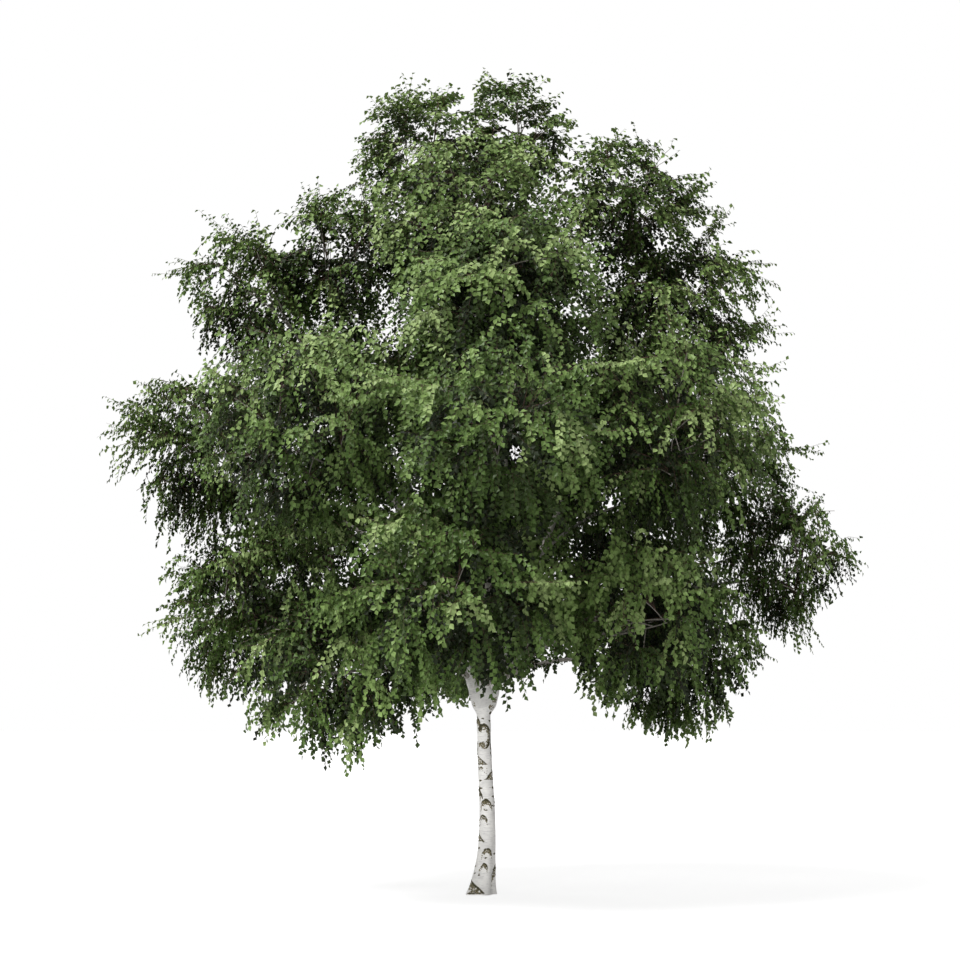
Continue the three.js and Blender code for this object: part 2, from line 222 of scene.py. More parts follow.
class Limb:
    """A limb's centreline, with its radius from base to tip."""

    def __init__(self, controls, base, tip):
        self.points = bezier([np.asarray(c)[None] for c in controls], np.linspace(0, 1, 201)[:, None])
        steps = np.linalg.norm(np.diff(self.points, axis=0), axis=1)
        self.walked = np.concatenate([[0], np.cumsum(steps)])
        self.length = self.walked[-1]
        self.base, self.tip = base, tip

    def at(self, share):
        walk = np.asarray(share) * self.length
        return np.stack([np.interp(walk, self.walked, self.points[:, k]) for k in range(3)], -1)

    def heading(self, share):
        share = np.asarray(share)
        return unit(self.at(np.minimum(share + 0.004, 1)) - self.at(np.maximum(share - 0.004, 0)))

    def radius(self, share):
        return self.base + (self.tip - self.base) * np.asarray(share) ** 0.85


def trunk_axis(z):
    bow = BOW * np.sin(np.pi * np.clip(z / BOW_HEIGHT, 0, 1) ** 0.67) ** 2
    return np.stack([LEAN * z + bow, 0 * z, z], -1)


def trunk_radius(z, angle):
    taper = TRUNK_RADIUS * (1.16 - 0.16 * z / BREAST_HEIGHT)
    toes = 1 + 0.3 * np.cos(5 * angle) - 0.35 * np.cos(angle)
    swell = TRUNK_SWELL * np.maximum(0, 1 - (FORK_HEIGHT - z) / 0.24) ** 2
    return taper + FLARE_RADIUS * np.exp(-z / FLARE_HEIGHT) * toes + swell


def leader_limb(name):
    base, tip_radius, _ = LEADERS[name]
    mass = next(m for m in masses if m["leader"] == name and m["rank"] == 0)
    outward = unit(mass["centre"] * [1, 1, 0])
    spacing = 0 if name == "centre" else LEADER_SPACING
    start = trunk_axis(np.array(FORK_HEIGHT)) + outward * spacing - UP * LEADER_SUNK
    tip = entry_point(mass, np.array([start[0], start[1], FORK_HEIGHT + 1.5]))
    length = np.linalg.norm(tip - start)
    rise = start + outward * 0.07 * length + UP * 0.3 * length
    lean = start + (tip - start) * 0.62 + UP * 0.08 * length
    return Limb([start, rise, lean, tip], base, tip_radius)


def bough_limb(mass, leader):
    """A bough leaves its leader where it can climb to its mass at the birch's own rise."""
    choices = 0.09 + 0.81 * np.arange(41) / 40
    starts = leader.at(choices)
    tips = np.array([entry_point(mass, start) for start in starts])
    run = np.hypot(*(tips - starts)[:, :2].T)
    best = np.abs((tips - starts)[:, 2] - BOUGH_RISE * run).argmin()
    start, tip = starts[best], tips[best]
    length = np.linalg.norm(tip - start)
    base = min(0.62 * leader.radius(choices[best]), 0.014 + 0.011 * length)
    return Limb([start, (start + tip) / 2 + UP * SHARE_BEND * length, tip], base, 0.55 * base)


leaders = {name: leader_limb(name) for name in LEADERS}
for mass in masses:
    leader = leaders[mass["leader"]]
    mass["limb"] = leader if mass["rank"] == 0 else bough_limb(mass, leader)
boughs = {mass["name"]: mass["limb"] for mass in masses if mass["rank"]}
print("leaders", {name: round(limb.length, 2) for name, limb in leaders.items()})
print("boughs from", round(min(b.length for b in boughs.values()), 2),
      "to", round(max(b.length for b in boughs.values()), 2), "m long")

# %% [markdown]
# ## Birch bark
#
# Young birch bark is smooth, chalky and almost white, with fine level lines. Where a branch has
# dropped off it leaves a dark arched brow, and where the trunk swelled faster than its skin could
# stretch the skin has split into a dark wedge with rough cork inside. These marks stand proud or
# lie deep by a few millimetres, so they are carried in the mesh itself. The same shapes are kept
# as an attribute on the vertices, and the material darkens the bark where the attribute says so:
# relief and colour then always agree. Each tube also carries its bark coordinates, as if the limb
# were unrolled and stood upright, so that the fine lines run level round any leaning limb.

# %% Seeded noise for relief
def noise(points, scale, seed=0):
    """Smooth lattice noise in -1..1 at points, with about scale lumps to the metre."""
    where = points * scale + 7.31 * seed
    cell = np.floor(where)
    share = where - cell
    share = share * share * (3 - 2 * share)
    total = np.zeros(where.shape[:-1])
    for corner in product((0, 1), repeat=3):
        wave = np.sin((cell + corner) @ np.array([12.9898, 78.233, 37.719]) + seed) * 43758.5453
        weight = np.where(corner, share, 1 - share).prod(-1)
        total += weight * (wave - np.floor(wave))
    return 2 * total - 1


def step(edge_low, edge_high, value):
    share = np.clip((value - edge_low) / (edge_high - edge_low), 0, 1)
    return share * share * (3 - 2 * share)


# %% Shapes of the dark marks
# Each shape takes the distance across (u) and up (v) from its middle, and says how dark the mark is
# there: 1 on its dark rim, about six tenths on mottled cork, and 0 on clean bark.
def oval(x, y):
    """1 in the middle of an oval of half sizes x and y given in shares, and 0 outside it."""
    return 1 - step(0.72, 1.0, np.hypot(x, y))


def brow(u, v, width, height):
    """An arch over rough cork that fades away below it."""
    out = np.abs(2 * u / width)
    under = np.sqrt(np.clip(1 - out**2, 0, 1)) - 0.5 - v / height
    rim = step(-0.04, 0.04, under) * (1 - step(0.16, 0.30, under))
    cork = 0.70 * step(0, 0.1, under) * (1 - step(0.45, 1.0, under))
    return np.maximum(rim, cork) * (out < 1)


def wedge(u, v, width, height):
    """A split that leans to its point: a dark slope over mottled cork, and a thin dark foot."""
    x, y = u / width + 0.5, v / height + 0.5
    below = 1 - y - x
    within = step(-0.03, 0.03, below) * step(-0.08, 0.10, x) * step(-0.04, 0.04, y)
    slope = 1 - step(0.10, 0.24, below)
    foot = 0.9 * (1 - step(0.05, 0.16, y))
    return within * np.maximum(0.66, np.maximum(slope, foot))


def fan(u, v, width, height):
    """The same split leaning the other way, upright and dark on its far side."""
    return wedge(-u, v, width, height)


def hook(u, v, width, height):
    """An old wound that starts in a knot, curls round and ends in a broad foot."""
    x, y = 2 * u / width, 2 * v / height
    turn = np.degrees(np.arctan2(y, x))
    out = np.hypot(x, y)
    arc = (turn > -75) * (turn < 140) * np.maximum(
        0.62 * oval((out - 0.74) / 0.32, 0), 0.95 * oval((out - 0.90) / 0.12, 0))
    knot = oval((x + 0.5) / 0.44, (y - 0.60) / 0.30)
    return np.maximum(arc, np.maximum(0.9 * knot, 0.64 * oval((x + 0.1) / 0.85, (y + 0.70) / 0.34)))


def stroke(u, v, width, height):
    """An upright crack."""
    half = width / 2 * np.sqrt(np.clip(1 - (2 * v / height) ** 2, 0, 1))
    return step(-0.002, 0.002, half - np.abs(u)) * (half > 0)


def slash(u, v, width, height):
    """A crack that climbs to one side."""
    return stroke(u + 0.6 * width * v / height, v, 0.24 * width, height)


def patch(u, v, width, height):
    """Mottled cork with a soft outline."""
    return 0.62 * (1 - step(0.5, 1.05, np.hypot(2 * u / width, 2 * v / height)))


def dot(u, v, width, height):
    """A small dark lens where a twig once was."""
    return 0.9 * oval(2 * u / width, 2 * v / height)


# The trunk's marks, from the fork down: shape, turn in degrees (270 is the front), height of the
# middle, width and height.
FRONT_MARKS = [
    (patch, 333, 1.874, 0.100, 0.100), (patch, 205, 1.830, 0.060, 0.090),
    (patch, 318, 1.805, 0.110, 0.070), (dot, 333, 1.747, 0.060, 0.036),
    (dot, 261, 1.694, 0.028, 0.024), (dot, 330, 1.673, 0.036, 0.024),
    (hook, 268, 1.523, 0.150, 0.250), (stroke, 196, 1.407, 0.028, 0.140),
    (stroke, 339, 1.400, 0.022, 0.130), (wedge, 248, 1.294, 0.115, 0.100),
    (patch, 229, 1.207, 0.090, 0.060), (fan, 307, 1.159, 0.130, 0.120),
    (dot, 222, 1.095, 0.050, 0.020), (dot, 336, 1.025, 0.050, 0.026),
    (dot, 214, 1.020, 0.080, 0.022), (slash, 216, 0.978, 0.100, 0.130),
    (dot, 334, 0.937, 0.060, 0.022), (brow, 263, 0.871, 0.120, 0.090),
    (dot, 320, 0.851, 0.036, 0.018), (dot, 258, 0.812, 0.042, 0.018),
    (brow, 232, 0.728, 0.105, 0.075), (dot, 200, 0.655, 0.050, 0.022),
    (wedge, 217, 0.560, 0.105, 0.110), (dot, 198, 0.509, 0.050, 0.022),
    (dot, 214, 0.445, 0.034, 0.020), (brow, 274, 0.404, 0.110, 0.085),
    (dot, 334, 0.391, 0.060, 0.018), (dot, 268, 0.350, 0.038, 0.018),
    (dot, 204, 0.269, 0.048, 0.026), (brow, 262, 0.265, 0.085, 0.075),
    (dot, 216, 0.205, 0.032, 0.020), (dot, 240, 0.188, 0.026, 0.020),
    (wedge, 244, 0.081, 0.195, 0.140),
]
GOLDEN_ANGLE = math.pi * (3 - math.sqrt(5))


def seeded_marks(key, length, spacing, girth, keep_front=False):
    """Marks that climb a limb by the golden angle, at about the given spacing."""
    made = []
    for i in range(int(length / spacing)):
        turn = math.degrees(i * GOLDEN_ANGLE + 6.28 * chance(key, 11)) % 360
        size = girth * (0.18 + 0.16 * chance(key, i, 5))
        shape = (brow, wedge, patch, brow, slash)[int(5 * chance(key, i, 6))]
        if not (keep_front and 190 < turn < 350):
            made.append((shape, turn, (i + 0.5) * spacing, size, size * (0.6 + 0.5 * chance(key, i, 7))))
    return made


def scars(marks, angle, along, radius, seed):
    """How far each point of a limb is covered by scars, how deep it lies in one, and where it is
    on the unrolled bark."""
    unrolled = np.stack([radius * np.cos(angle), radius * np.sin(angle), along], -1)
    ragged = 0.007 * noise(unrolled, 55, seed) + 0.003 * noise(unrolled, 140, seed + 1)
    depth = 0.18 + 0.12 * noise(unrolled, 9, seed + 2)
    for shape, turn, middle, width, height in marks:
        rows = np.abs(along[:, 0] - middle) < height + 0.02
        off = (angle[rows] - math.radians(turn) + math.pi) % (2 * math.pi) - math.pi
        u = off * radius[rows] + ragged[rows]
        mark = shape(u, along[rows] - middle - ragged[rows], width, height)
        depth[rows] = np.maximum(depth[rows], np.clip(mark, 0, 1))
    stipple = 0.65 * noise(unrolled * [1, 1, 1.7], 85, seed + 3) + 0.35 * noise(unrolled, 190, seed + 4)
    covered = step(0, 0.16, depth - 0.5 + 0.5 * stipple)
    return covered, depth, unrolled


# %% [markdown]
# A tube is a grid of rings. The grid is turned into a mesh in one go from arrays, which is far
# faster than adding faces one by one, and both ends are closed by a fan to a middle point.

# %% Tubes from rings
def closed_tube(rings):
    """Vertices and faces of a tube through rings (rows, sides, 3), closed at both ends."""
    rows, sides = rings.shape[:2]
    index = np.arange(rows * sides).reshape(rows, sides)
    after = np.roll(index, -1, axis=1)
    quads = np.stack([index[:-1], after[:-1], after[1:], index[1:]], -1).reshape(-1, 4)
    low, high = rows * sides, rows * sides + 1
    foot = np.stack([after[0], index[0], np.full(sides, low)], -1)
    head = np.stack([index[-1], after[-1], np.full(sides, high)], -1)
    points = np.concatenate([rings.reshape(-1, 3), [rings[0].mean(0)], [rings[-1].mean(0)]])
    return points, quads.tolist() + foot.tolist() + head.tolist()


def ends_too(values):
    """Values on the grid of a tube, with one more for each end's middle point."""
    flat = values.reshape((-1,) + values.shape[2:])
    return np.concatenate([flat, flat[:1], flat[-1:]])


def bark_piece(name, tubes):
    """One mesh of several tubes, each given as (rings, scar, depth, unrolled)."""
    points, faces, scar, depth, unrolled = [], [], [], [], []
    for rings, covered, deep, flat in tubes:
        start = sum(map(len, points))
        some, its_faces = closed_tube(rings)
        points.append(some)
        faces += [[start + i for i in face] for face in its_faces]
        scar.append(ends_too(covered))
        depth.append(ends_too(deep))
        unrolled.append(ends_too(flat))
    mesh = bpy.data.meshes.new(name)
    mesh.from_pydata(np.concatenate(points).tolist(), [], faces)
    mesh.shade_smooth()
    mesh.attributes.new("scar", "FLOAT", "POINT").data.foreach_set("value", np.concatenate(scar))
    mesh.attributes.new("depth", "FLOAT", "POINT").data.foreach_set("value", np.concatenate(depth))
    mesh.attributes.new("unrolled", "FLOAT_VECTOR", "POINT").data.foreach_set(
        "vector", np.concatenate(unrolled).ravel())
    piece = bpy.data.objects.new(name, mesh)
    bpy.context.scene.collection.objects.link(piece)
    print(name, len(mesh.vertices), "vertices,", sum(len(f) - 2 for f in faces), "triangles")
    return piece


# %% [markdown]
# ## The trunk
#
# The trunk is one tube from the flat cut at the ground to the fork. Its foot flares into toes, and
# under the fork the leaders already show as ribs. To find that blended outline, each ring is looked
# at from above: the distance to the trunk and to each leader is merged by a smooth minimum, and the
# skin lies where that distance is zero. Above the fork the tube closes in a low dome that fills the
# crotch between the leaders.

# %% Trunk
TRUNK_SIDES = 132
TRUNK_ROWS = 600
CROTCH_RISE = 0.085  # height of the dome between the leaders
FILLET = 0.060  # how softly the leaders melt into the trunk


def smooth_least(a, b, k):
    h = np.clip(1 - np.abs(a - b) / k, 0, 1)
    return np.minimum(a, b) - h * h * k / 4


def blended_radius(z, angle):
    """The outline of the trunk with the leaders' feet melted in, for rows near the fork."""
    out = np.linspace(0.24, 0.0, 121)[None, None]
    axis = trunk_axis(z)
    x = axis[:, :1, None] + out * np.cos(angle)[..., None]
    y = out * np.sin(angle)[..., None]
    level = np.minimum(z, FORK_HEIGHT)
    closing = np.sqrt(np.clip(1 - ((z - level) / CROTCH_RISE) ** 2, 0, 1))[:, None]
    nearest = out - (trunk_radius(level[:, None], angle) * closing)[..., None]
    for limb in leaders.values():
        share = np.interp(z, limb.points[:, 2], limb.walked / limb.length)
        middle = limb.at(share)[:, None, None]
        reach = (limb.radius(share) * (1.06 - (z - level)))[:, None, None]
        gone = 10 * (limb.points[0, 2] > z)[:, None, None]
        away = np.hypot(x - middle[..., 0], y - middle[..., 1]) - reach + gone
        nearest = smooth_least(nearest, away, FILLET)
    first = (nearest < 0).argmax(-1)
    rows, cols = np.indices(first.shape)
    near, far = nearest[rows, cols, first], nearest[rows, cols, np.maximum(first - 1, 0)]
    spacing = out[0, 0, 0] - out[0, 0, 1]
    return out[0, 0][first] + spacing * near / np.minimum(near - far, -1e-9)


angle = np.tile(np.linspace(0, 2 * np.pi, TRUNK_SIDES, endpoint=False), (TRUNK_ROWS, 1))
z = np.linspace(0, 1, TRUNK_ROWS) ** 1.12 * (FORK_HEIGHT + 0.98 * CROTCH_RISE)
along = np.tile(z[:, None], (1, TRUNK_SIDES))
plain = trunk_radius(np.minimum(along, FORK_HEIGHT), angle)
near_fork = z > FORK_HEIGHT - LEADER_SUNK - 0.02
blend = blended_radius(z[near_fork], angle[near_fork])
ease = step(FORK_HEIGHT - LEADER_SUNK - 0.02, FORK_HEIGHT - 0.10, z[near_fork])[:, None]
girth = plain.copy()
girth[near_fork] = np.where(z[near_fork][:, None] > FORK_HEIGHT, blend,
                            plain[near_fork] * (1 - ease) + np.maximum(blend, plain[near_fork]) * ease)
marks = FRONT_MARKS + seeded_marks(1, FORK_HEIGHT - 0.1, 0.085, 0.46, keep_front=True)
scar, depth, unrolled = scars(marks, angle, along, np.maximum(girth, 0.02), 3)
cork = noise(unrolled, 70, 5) + 0.6 * noise(unrolled, 170, 6)
lines = noise(unrolled * [1, 1, 9], 26, 7)
lumps = noise(unrolled, 9, 8)
relief = 0.0022 * lumps + 0.0005 * lines + scar * (0.0020 + 0.0035 * cork - 0.003 * step(0.7, 1, depth))
relief *= step(0, 0.004, along) * step(0.01, 0.06, girth)
skin = girth + relief
rings = trunk_axis(z)[:, None] + np.stack([skin * np.cos(angle), skin * np.sin(angle), 0 * skin], -1)
trunk = bark_piece("birch_trunk", [(rings, scar, depth, unrolled)])

# %% [markdown]
# ## Leaders and boughs
#
# The leaders and boughs are the same kind of tube, swept along their own centrelines. A bough has a
# collar where it leaves its leader. A leader needs none: its foot tapers away inside the trunk,
# whose skin already swells to meet it. Higher up, a leader's bark is painted greyer as painted shade,
# for the crown that shades it.
# A limb's rings are turned by one fixed direction across its plane, so the tube never twists.

# %% Leaders and boughs
COLLAR = 0.55  # a limb's extra radius where it leaves its parent, as a share of its own


def limb_tube(limb, key, sides, spacing, marks, collar=COLLAR, buried=1e-6):
    rows = max(8, int(limb.length / spacing))
    share = np.linspace(0, 1, rows)
    centre, heading = limb.at(share), limb.heading(share)
    across = np.cross(limb.points[-1] - limb.points[0], UP)
    across = across if np.linalg.norm(across) > 0.05 else np.array([0.0, 1.0, 0.0])
    first = unit(across - (heading @ across)[:, None] * heading)
    second = np.cross(heading, first)
    angle = np.tile(np.linspace(0, 2 * np.pi, sides, endpoint=False), (rows, 1))
    along = np.tile((share * limb.length)[:, None], (1, sides))
    radius = limb.radius(share) * (1 + collar * np.exp(-share * limb.length / (2.2 * limb.base)))
    radius *= 0.1 + 0.9 * step(0.1 * buried, buried, share * limb.length)
    girth = np.tile(radius[:, None], (1, sides))
    scar, depth, unrolled = scars(marks, angle, along, girth, key)
    unrolled = unrolled + [0, 0, 3.7 * key]
    relief = girth * (0.05 * noise(unrolled, 12, key) + 0.03 * noise(unrolled * [1, 1, 4], 30, key))
    relief += scar * (0.001 + 0.002 * noise(unrolled, 90, key))
    skin = (girth + relief)[..., None]
    rings = centre[:, None] + skin * (np.cos(angle)[..., None] * first[:, None]
                                      + np.sin(angle)[..., None] * second[:, None])
    return rings, scar, depth, unrolled


leader_tubes = []
for key, (name, limb) in enumerate(leaders.items(), 2):
    marks = seeded_marks(key, limb.length, 0.16, 0.22)
    leader_tubes.append(limb_tube(limb, key, 24, 0.011, marks, collar=0, buried=0.6 * LEADER_SUNK))
leader_piece = bark_piece("birch_leaders", leader_tubes)

bough_tubes = []
for key, (name, limb) in enumerate(boughs.items(), 20):
    marks = seeded_marks(key, 0.5 * limb.length, 0.21, 0.13)
    bough_tubes.append(limb_tube(limb, key, 16, 0.018, marks))
bough_piece = bark_piece("birch_boughs", bough_tubes)

# %% [markdown]
# ## How a mass grows
#
# Inside a mass the limb goes on as a stem, and the rule of the solids is carried to finer wood:
# the stem bears eight twigs, the twigs bear branchlets that end near the border of the space, and
# each branchlet bears shoots that hang, as on every birch whose wood is thinner than a pencil. Near
# the top of the tree the shoots are short and still point up. The centrelines are worked out as
# arrays, many at a time, and stay mere polylines with a thickness until the next step.

# %% Stems and twigs
def stem_limb(mass):
    limb = mass["limb"]
    start, heading = limb.at(1.0), limb.heading(1.0)
    outward = unit(mass["centre"] * [1, 1, 0])
    droop = 0.22 if mass["rank"] == 0 else -0.12
    end = mass["centre"] + outward * 0.42 * mass["radius"] + UP * droop * mass["radius"]
    bend = start + heading * 0.5 * np.linalg.norm(end - start)
    return Limb([start, bend, end], float(limb.radius(1.0)), 0.005)


def spread_headings(mass, count, depth, shift):
    """Headings spread evenly over a mass, from straight out of the crown round to its inner side."""
    pole = unit(mass["centre"] - [0, 0, CROWN_HEART])
    level = 1 - depth * (np.arange(count) + shift) / count
    turn = np.arange(count) * GOLDEN_ANGLE + 2 * math.pi * chance(mass["index"], 1)
    first = unit(np.cross(pole, [0.31, 0.95, 0]))
    second = np.cross(pole, first)
    flat = np.sqrt(1 - level**2)
    return (level[:, None] * pole + (flat * np.cos(turn))[:, None] * first
            + (flat * np.sin(turn))[:, None] * second)


TWIG_SHARE = 0.62  # a twig ends this share of the way to the border
stems, twigs = [], []
for mass in masses:
    m = mass["index"]
    stem = stem_limb(mass)
    stems.append(stem)
    headings = spread_headings(mass, TWIGS_PER_MASS, 1.5, 0.3)
    ends = mass["centre"] + headings * (TWIG_SHARE * reach_along(m, headings))[:, None]
    for i, (heading, end) in enumerate(zip(headings, ends)):
        leave = 0.1 + 0.85 * ((i * 0.618 + chance(m, 3)) % 1)
        start = stem.at(leave)
        length = np.linalg.norm(end - start)
        arch = (start + end) / 2 + UP * 0.14 * length
        twigs.append({"mass": m, "heading": heading,
                      "limb": Limb([start, arch, end], min(0.011, 0.8 * stem.radius(leave)), 0.005)})
print(len(stems), "stems and", len(twigs), "twigs")

# %% [markdown]
# Most branchlets end a little inside the border of their space, and a third of them deeper, so that
# the mass has a body and not only a skin. A birch's outline is ragged, though: here and there a few
# branchlets run on past the others and end in a loose wisp. Some of these are left to chance, and
# the ones that make the outline are aimed at places chosen for the view from the front, so they
# shape that view only. An aimed wisp belongs to the mass that it lies closest to, and starts from
# that mass's nearest twig like any other branchlet.

# %% Branchlets
BRANCHLETS = 98  # on a mass of 1.1 m radius, and in proportion to the surface of others
STRAGGLERS = 0.07  # share of the branchlets of the open side that reach out past the others
LOWEST_STRAGGLER = 2.2  # below this height all branchlets hang alike
CROWN_TOP = cad_box[1][2]
EYE = np.array([-0.024, -18.0, 1.7])  # where the tree is looked at from
INNER_BRANCHLETS = 0.36  # share of the branchlets that end deep inside the mass
INNER_DEPTH, OUTER_DEPTH, STRAGGLER_DEPTH = (0.40, 0.70), (0.72, 0.88), (0.94, 1.04)
SHORTEST_BRANCHLET = 0.12
WISP_BRANCHLETS = 2  # aimed at each place
WISP_TIP = 0.28  # length of a wisp's last shoot
FAR_SIDE_ONLY = 9  # keeps a wisp off the masses of the near side
# Where wisps of twigs reach out past the masses, as places (x, z) in the plane of the trunk as seen
# from EYE, and more of them on the far side of the tree only.
WISPS = [
    (1.38, 7.81), (1.54, 7.75), (1.75, 7.60), (2.50, 7.18), (2.27, 7.07), (2.54, 6.90), (2.17, 6.90),
    (2.49, 6.61), (2.98, 6.38), (3.06, 5.69), (3.00, 5.45), (2.93, 5.28), (2.83, 5.01), (3.40, 4.33),
    (3.19, 4.07), (3.04, 4.01), (3.29, 3.89), (3.75, 3.24), (3.24, 2.31), (2.32, 1.49), (2.13, 1.37),
    (1.79, 1.45), (1.59, 1.49), (1.33, 1.66), (1.04, 1.86), (0.84, 1.99), (-1.40, 7.71), (-1.40, 7.48),
    (-1.39, 7.32), (-1.87, 7.13), (-1.69, 7.09), (-2.85, 6.82), (-2.63, 6.84), (-3.21, 6.31),
    (-3.61, 5.08), (-3.44, 5.15), (-3.80, 4.91), (-3.82, 4.66), (-1.22, 8.14), (-0.98, 8.20),
    (-0.75, 8.37), (-0.54, 8.26), (-0.28, 8.24), (0.08, 8.39), (0.51, 8.44), (0.78, 8.20), (0.94, 7.64),
    (-3.17, 3.57), (-3.04, 3.36), (-2.90, 3.41), (-3.18, 2.86), (-3.06, 2.47), (-2.91, 1.99),
    (-2.74, 1.86), (-2.39, 1.70), (-1.28, 1.21), (3.22, 4.15), (3.12, 4.06), (3.12, 3.95),
    (-2.98, 3.48), (-2.77, 3.42), (2.36, 6.97), (2.40, 6.86), (2.96, 2.50), (2.85, 2.42), (3.12, 2.38),
]
BACK_WISPS = [
    (-0.37, 1.66), (-0.50, 1.66), (-0.24, 1.72), (-0.14, 1.82), (-0.30, 1.84),
]
draw = np.random.default_rng(47)

wisps_of = [[] for _ in masses]
for places, put_off in ((WISPS, 0), (BACK_WISPS, FAR_SIDE_ONLY)):
    for x, height in places:
        spots = EYE + (np.array([x, 0, height]) - EYE) * (1 - CENTRES[:, 1:2] / EYE[1]) - CENTRES
        m = (np.linalg.norm(spots, axis=1) / RADII + put_off * (CENTRES[:, 1] < 0)).argmin()
        wisps_of[m].append(spots[m] - WISP_TIP * unit(spots[m]))


def branchlets_of(mass):
    """Start, handle and end of each branchlet, the share of the way out that its end lies at, and
    whether it straggles."""
    m = mass["index"]
    count = int(BRANCHLETS * (mass["radius"] / 1.1) ** 2)
    headings = unit(spread_headings(mass, count, 1.9, 0.5) + 0.12 * draw.normal(size=(count, 3)))
    space = reach_along(m, headings)
    open_side = space > 0.97 * mass["radius"]
    depth = np.where(draw.random(count) < INNER_BRANCHLETS, draw.uniform(*INNER_DEPTH, count),
                     draw.uniform(*OUTER_DEPTH, count))
    if mass["centre"][1] < 0.5:
        depth += 0.2 * np.minimum(headings[:, 2], 0) * open_side
    straggler = open_side & (headings[:, 2] > -0.3) & (draw.random(count) < STRAGGLERS)
    depth = np.where(straggler, draw.uniform(*STRAGGLER_DEPTH, count), depth)
    wisps = np.repeat(np.array(wisps_of[m]).reshape(-1, 3), WISP_BRANCHLETS, axis=0)
    out = np.concatenate([headings * (space * depth)[:, None],
                          wisps + 0.05 * draw.normal(size=wisps.shape)])
    own = [t for t in twigs if t["mass"] == m]
    nearest = (unit(out) @ np.array([t["heading"] for t in own]).T).argmax(1)
    leave = draw.uniform(0.25, 0.97, len(out))
    starts = np.array([own[n]["limb"].at(share) for n, share in zip(nearest, leave)])
    along = np.array([own[n]["limb"].heading(share) for n, share in zip(nearest, leave)])
    ends = mass["centre"] + out
    length = np.linalg.norm(ends - starts, axis=1, keepdims=True)
    handles = starts + along * 0.35 * length + UP * 0.22 * length
    chosen = length[:, 0] > SHORTEST_BRANCHLET
    depth = np.linalg.norm(out, axis=1) / RADII[m]
    straggler = np.concatenate([straggler, np.ones(len(wisps), bool)]) & (ends[:, 2] > LOWEST_STRAGGLER)
    return [a[chosen] for a in (np.full(len(out), m), starts, handles, ends, depth, straggler)]


home, b_start, b_handle, b_end, b_depth, b_straggler = map(
    np.concatenate, zip(*(branchlets_of(mass) for mass in masses)))
print(len(home), "branchlets")

# %% [markdown]
# A shoot leaves its branchlet to one side or the other, at about forty degrees, and gravity bends
# it down over its length. In a wisp the shoots are shorter and hardly droop. A shoot that would
# leave the mass's space, or the box of the solids, is tried again shorter, and left out if even
# that doesn't fit. A few narrow windows through the crown, and the bays in its outline, are kept
# nearly free of shoots, because a crown closed all round would look clipped. Like the aimed wisps,
# they follow the line of sight from the front.

# %% Shoots
SHOOTS = 8  # on each branchlet, the last one at its tip
SHOOT_LENGTH = (0.26, 0.56)
TIP_LENGTH = (0.25, 0.48)
SPREAD = 0.75
OVERLAP = 0.26  # how far shoots of neighbouring masses may interleave
BODY_SHARE, TIP_SHARE = 0.95, 1.03  # how far out the side shoots and the tip shoots may reach
STRAGGLER_SHARE = 1.30  # and how far those of a straggling branchlet may
LOWEST_TIP = 1.15
BOX_SHARE = 0.02  # how far a shoot's tip may pass the solids' box, as a share of its side
ANY_DEPTH = 9  # a window that reaches through the whole crown
WINDOW_CUT = 0.93  # share of the shoots in a window that are left out
# Each window: a place (x, z) in the plane of the trunk as seen from EYE, a radius, and how far back
# it reaches.
WINDOWS = [(0.33, 4.35, 0.13, ANY_DEPTH), (-0.92, 4.65, 0.09, ANY_DEPTH), (0.40, 5.33, 0.08, ANY_DEPTH),
           (-1.62, 2.42, 0.09, ANY_DEPTH), (1.20, 2.40, 0.10, ANY_DEPTH), (-0.13, 2.07, 0.085, -0.1)]
# Each bay of the outline: a place in the same plane and a radius.
BAYS = [
    (1.11, 7.94, 0.12), (1.95, 7.39, 0.13), (2.26, 7.39, 0.11), (-2.05, 6.56, 0.13),
    (-1.52, 7.30, 0.12), (-3.11, 5.45, 0.15), (-3.07, 5.69, 0.12), (3.64, 3.73, 0.14),
    (3.47, 2.65, 0.18), (3.11, 5.01, 0.12), (3.20, 4.73, 0.12), (0.77, 2.19, 0.12), (2.76, 1.96, 0.12),
    (-1.95, 1.43, 0.12), (-3.51, 3.85, 0.13),
]
WINDOWS += [(*bay, ANY_DEPTH) for bay in BAYS]


box_low, box_high = np.array(cad_box)
box_low, box_high = (box_low - BOX_SHARE * (box_high - box_low),
                     box_high + BOX_SHARE * (box_high - box_low))
box_low[2] = LOWEST_TIP


def in_window(points):
    """True where the line of sight through a point passes a window."""
    scale = -EYE[1] / (points[:, 1] - EYE[1])
    x = EYE[0] + (points[:, 0] - EYE[0]) * scale
    height = EYE[2] + (points[:, 2] - EYE[2]) * scale
    return np.any([(np.hypot(x - wx, height - wz) < size) & (points[:, 1] < back)
                   for wx, wz, size, back in WINDOWS], axis=0)


order = np.tile(np.arange(SHOOTS), len(home))
parent = np.repeat(np.arange(len(home)), SHOOTS)
count = len(parent)
shoot_home = home[parent]
at_tip = order == SHOOTS - 1
straggling = b_straggler[parent]
leave = (order + draw.random(count)) / (SHOOTS - 1)
leave = np.where(at_tip, 1.0, np.where(straggling, 0.52 + 0.46 * leave, 0.40 + 0.58 * leave))
curve = (b_start[parent], b_handle[parent], b_end[parent])
root = bezier(curve, leave[:, None])
onward = unit(root - bezier(curve, leave[:, None] - 0.05))
radial = unit(root - CENTRES[shoot_home])
sideways = unit(np.cross(onward, UP)) * np.where(order % 2, SPREAD, -SPREAD)[:, None]
ahead = np.where(at_tip[:, None], onward * 0.5 + radial * 0.6 + UP * 0.12, onward + sideways + UP * 0.12)
setting_off = unit(ahead + 0.2 * draw.normal(size=(count, 3)))
high = step(0.74, 0.97, root[:, 2] / CROWN_TOP)
weight = draw.uniform(0.5, 2.2, count)
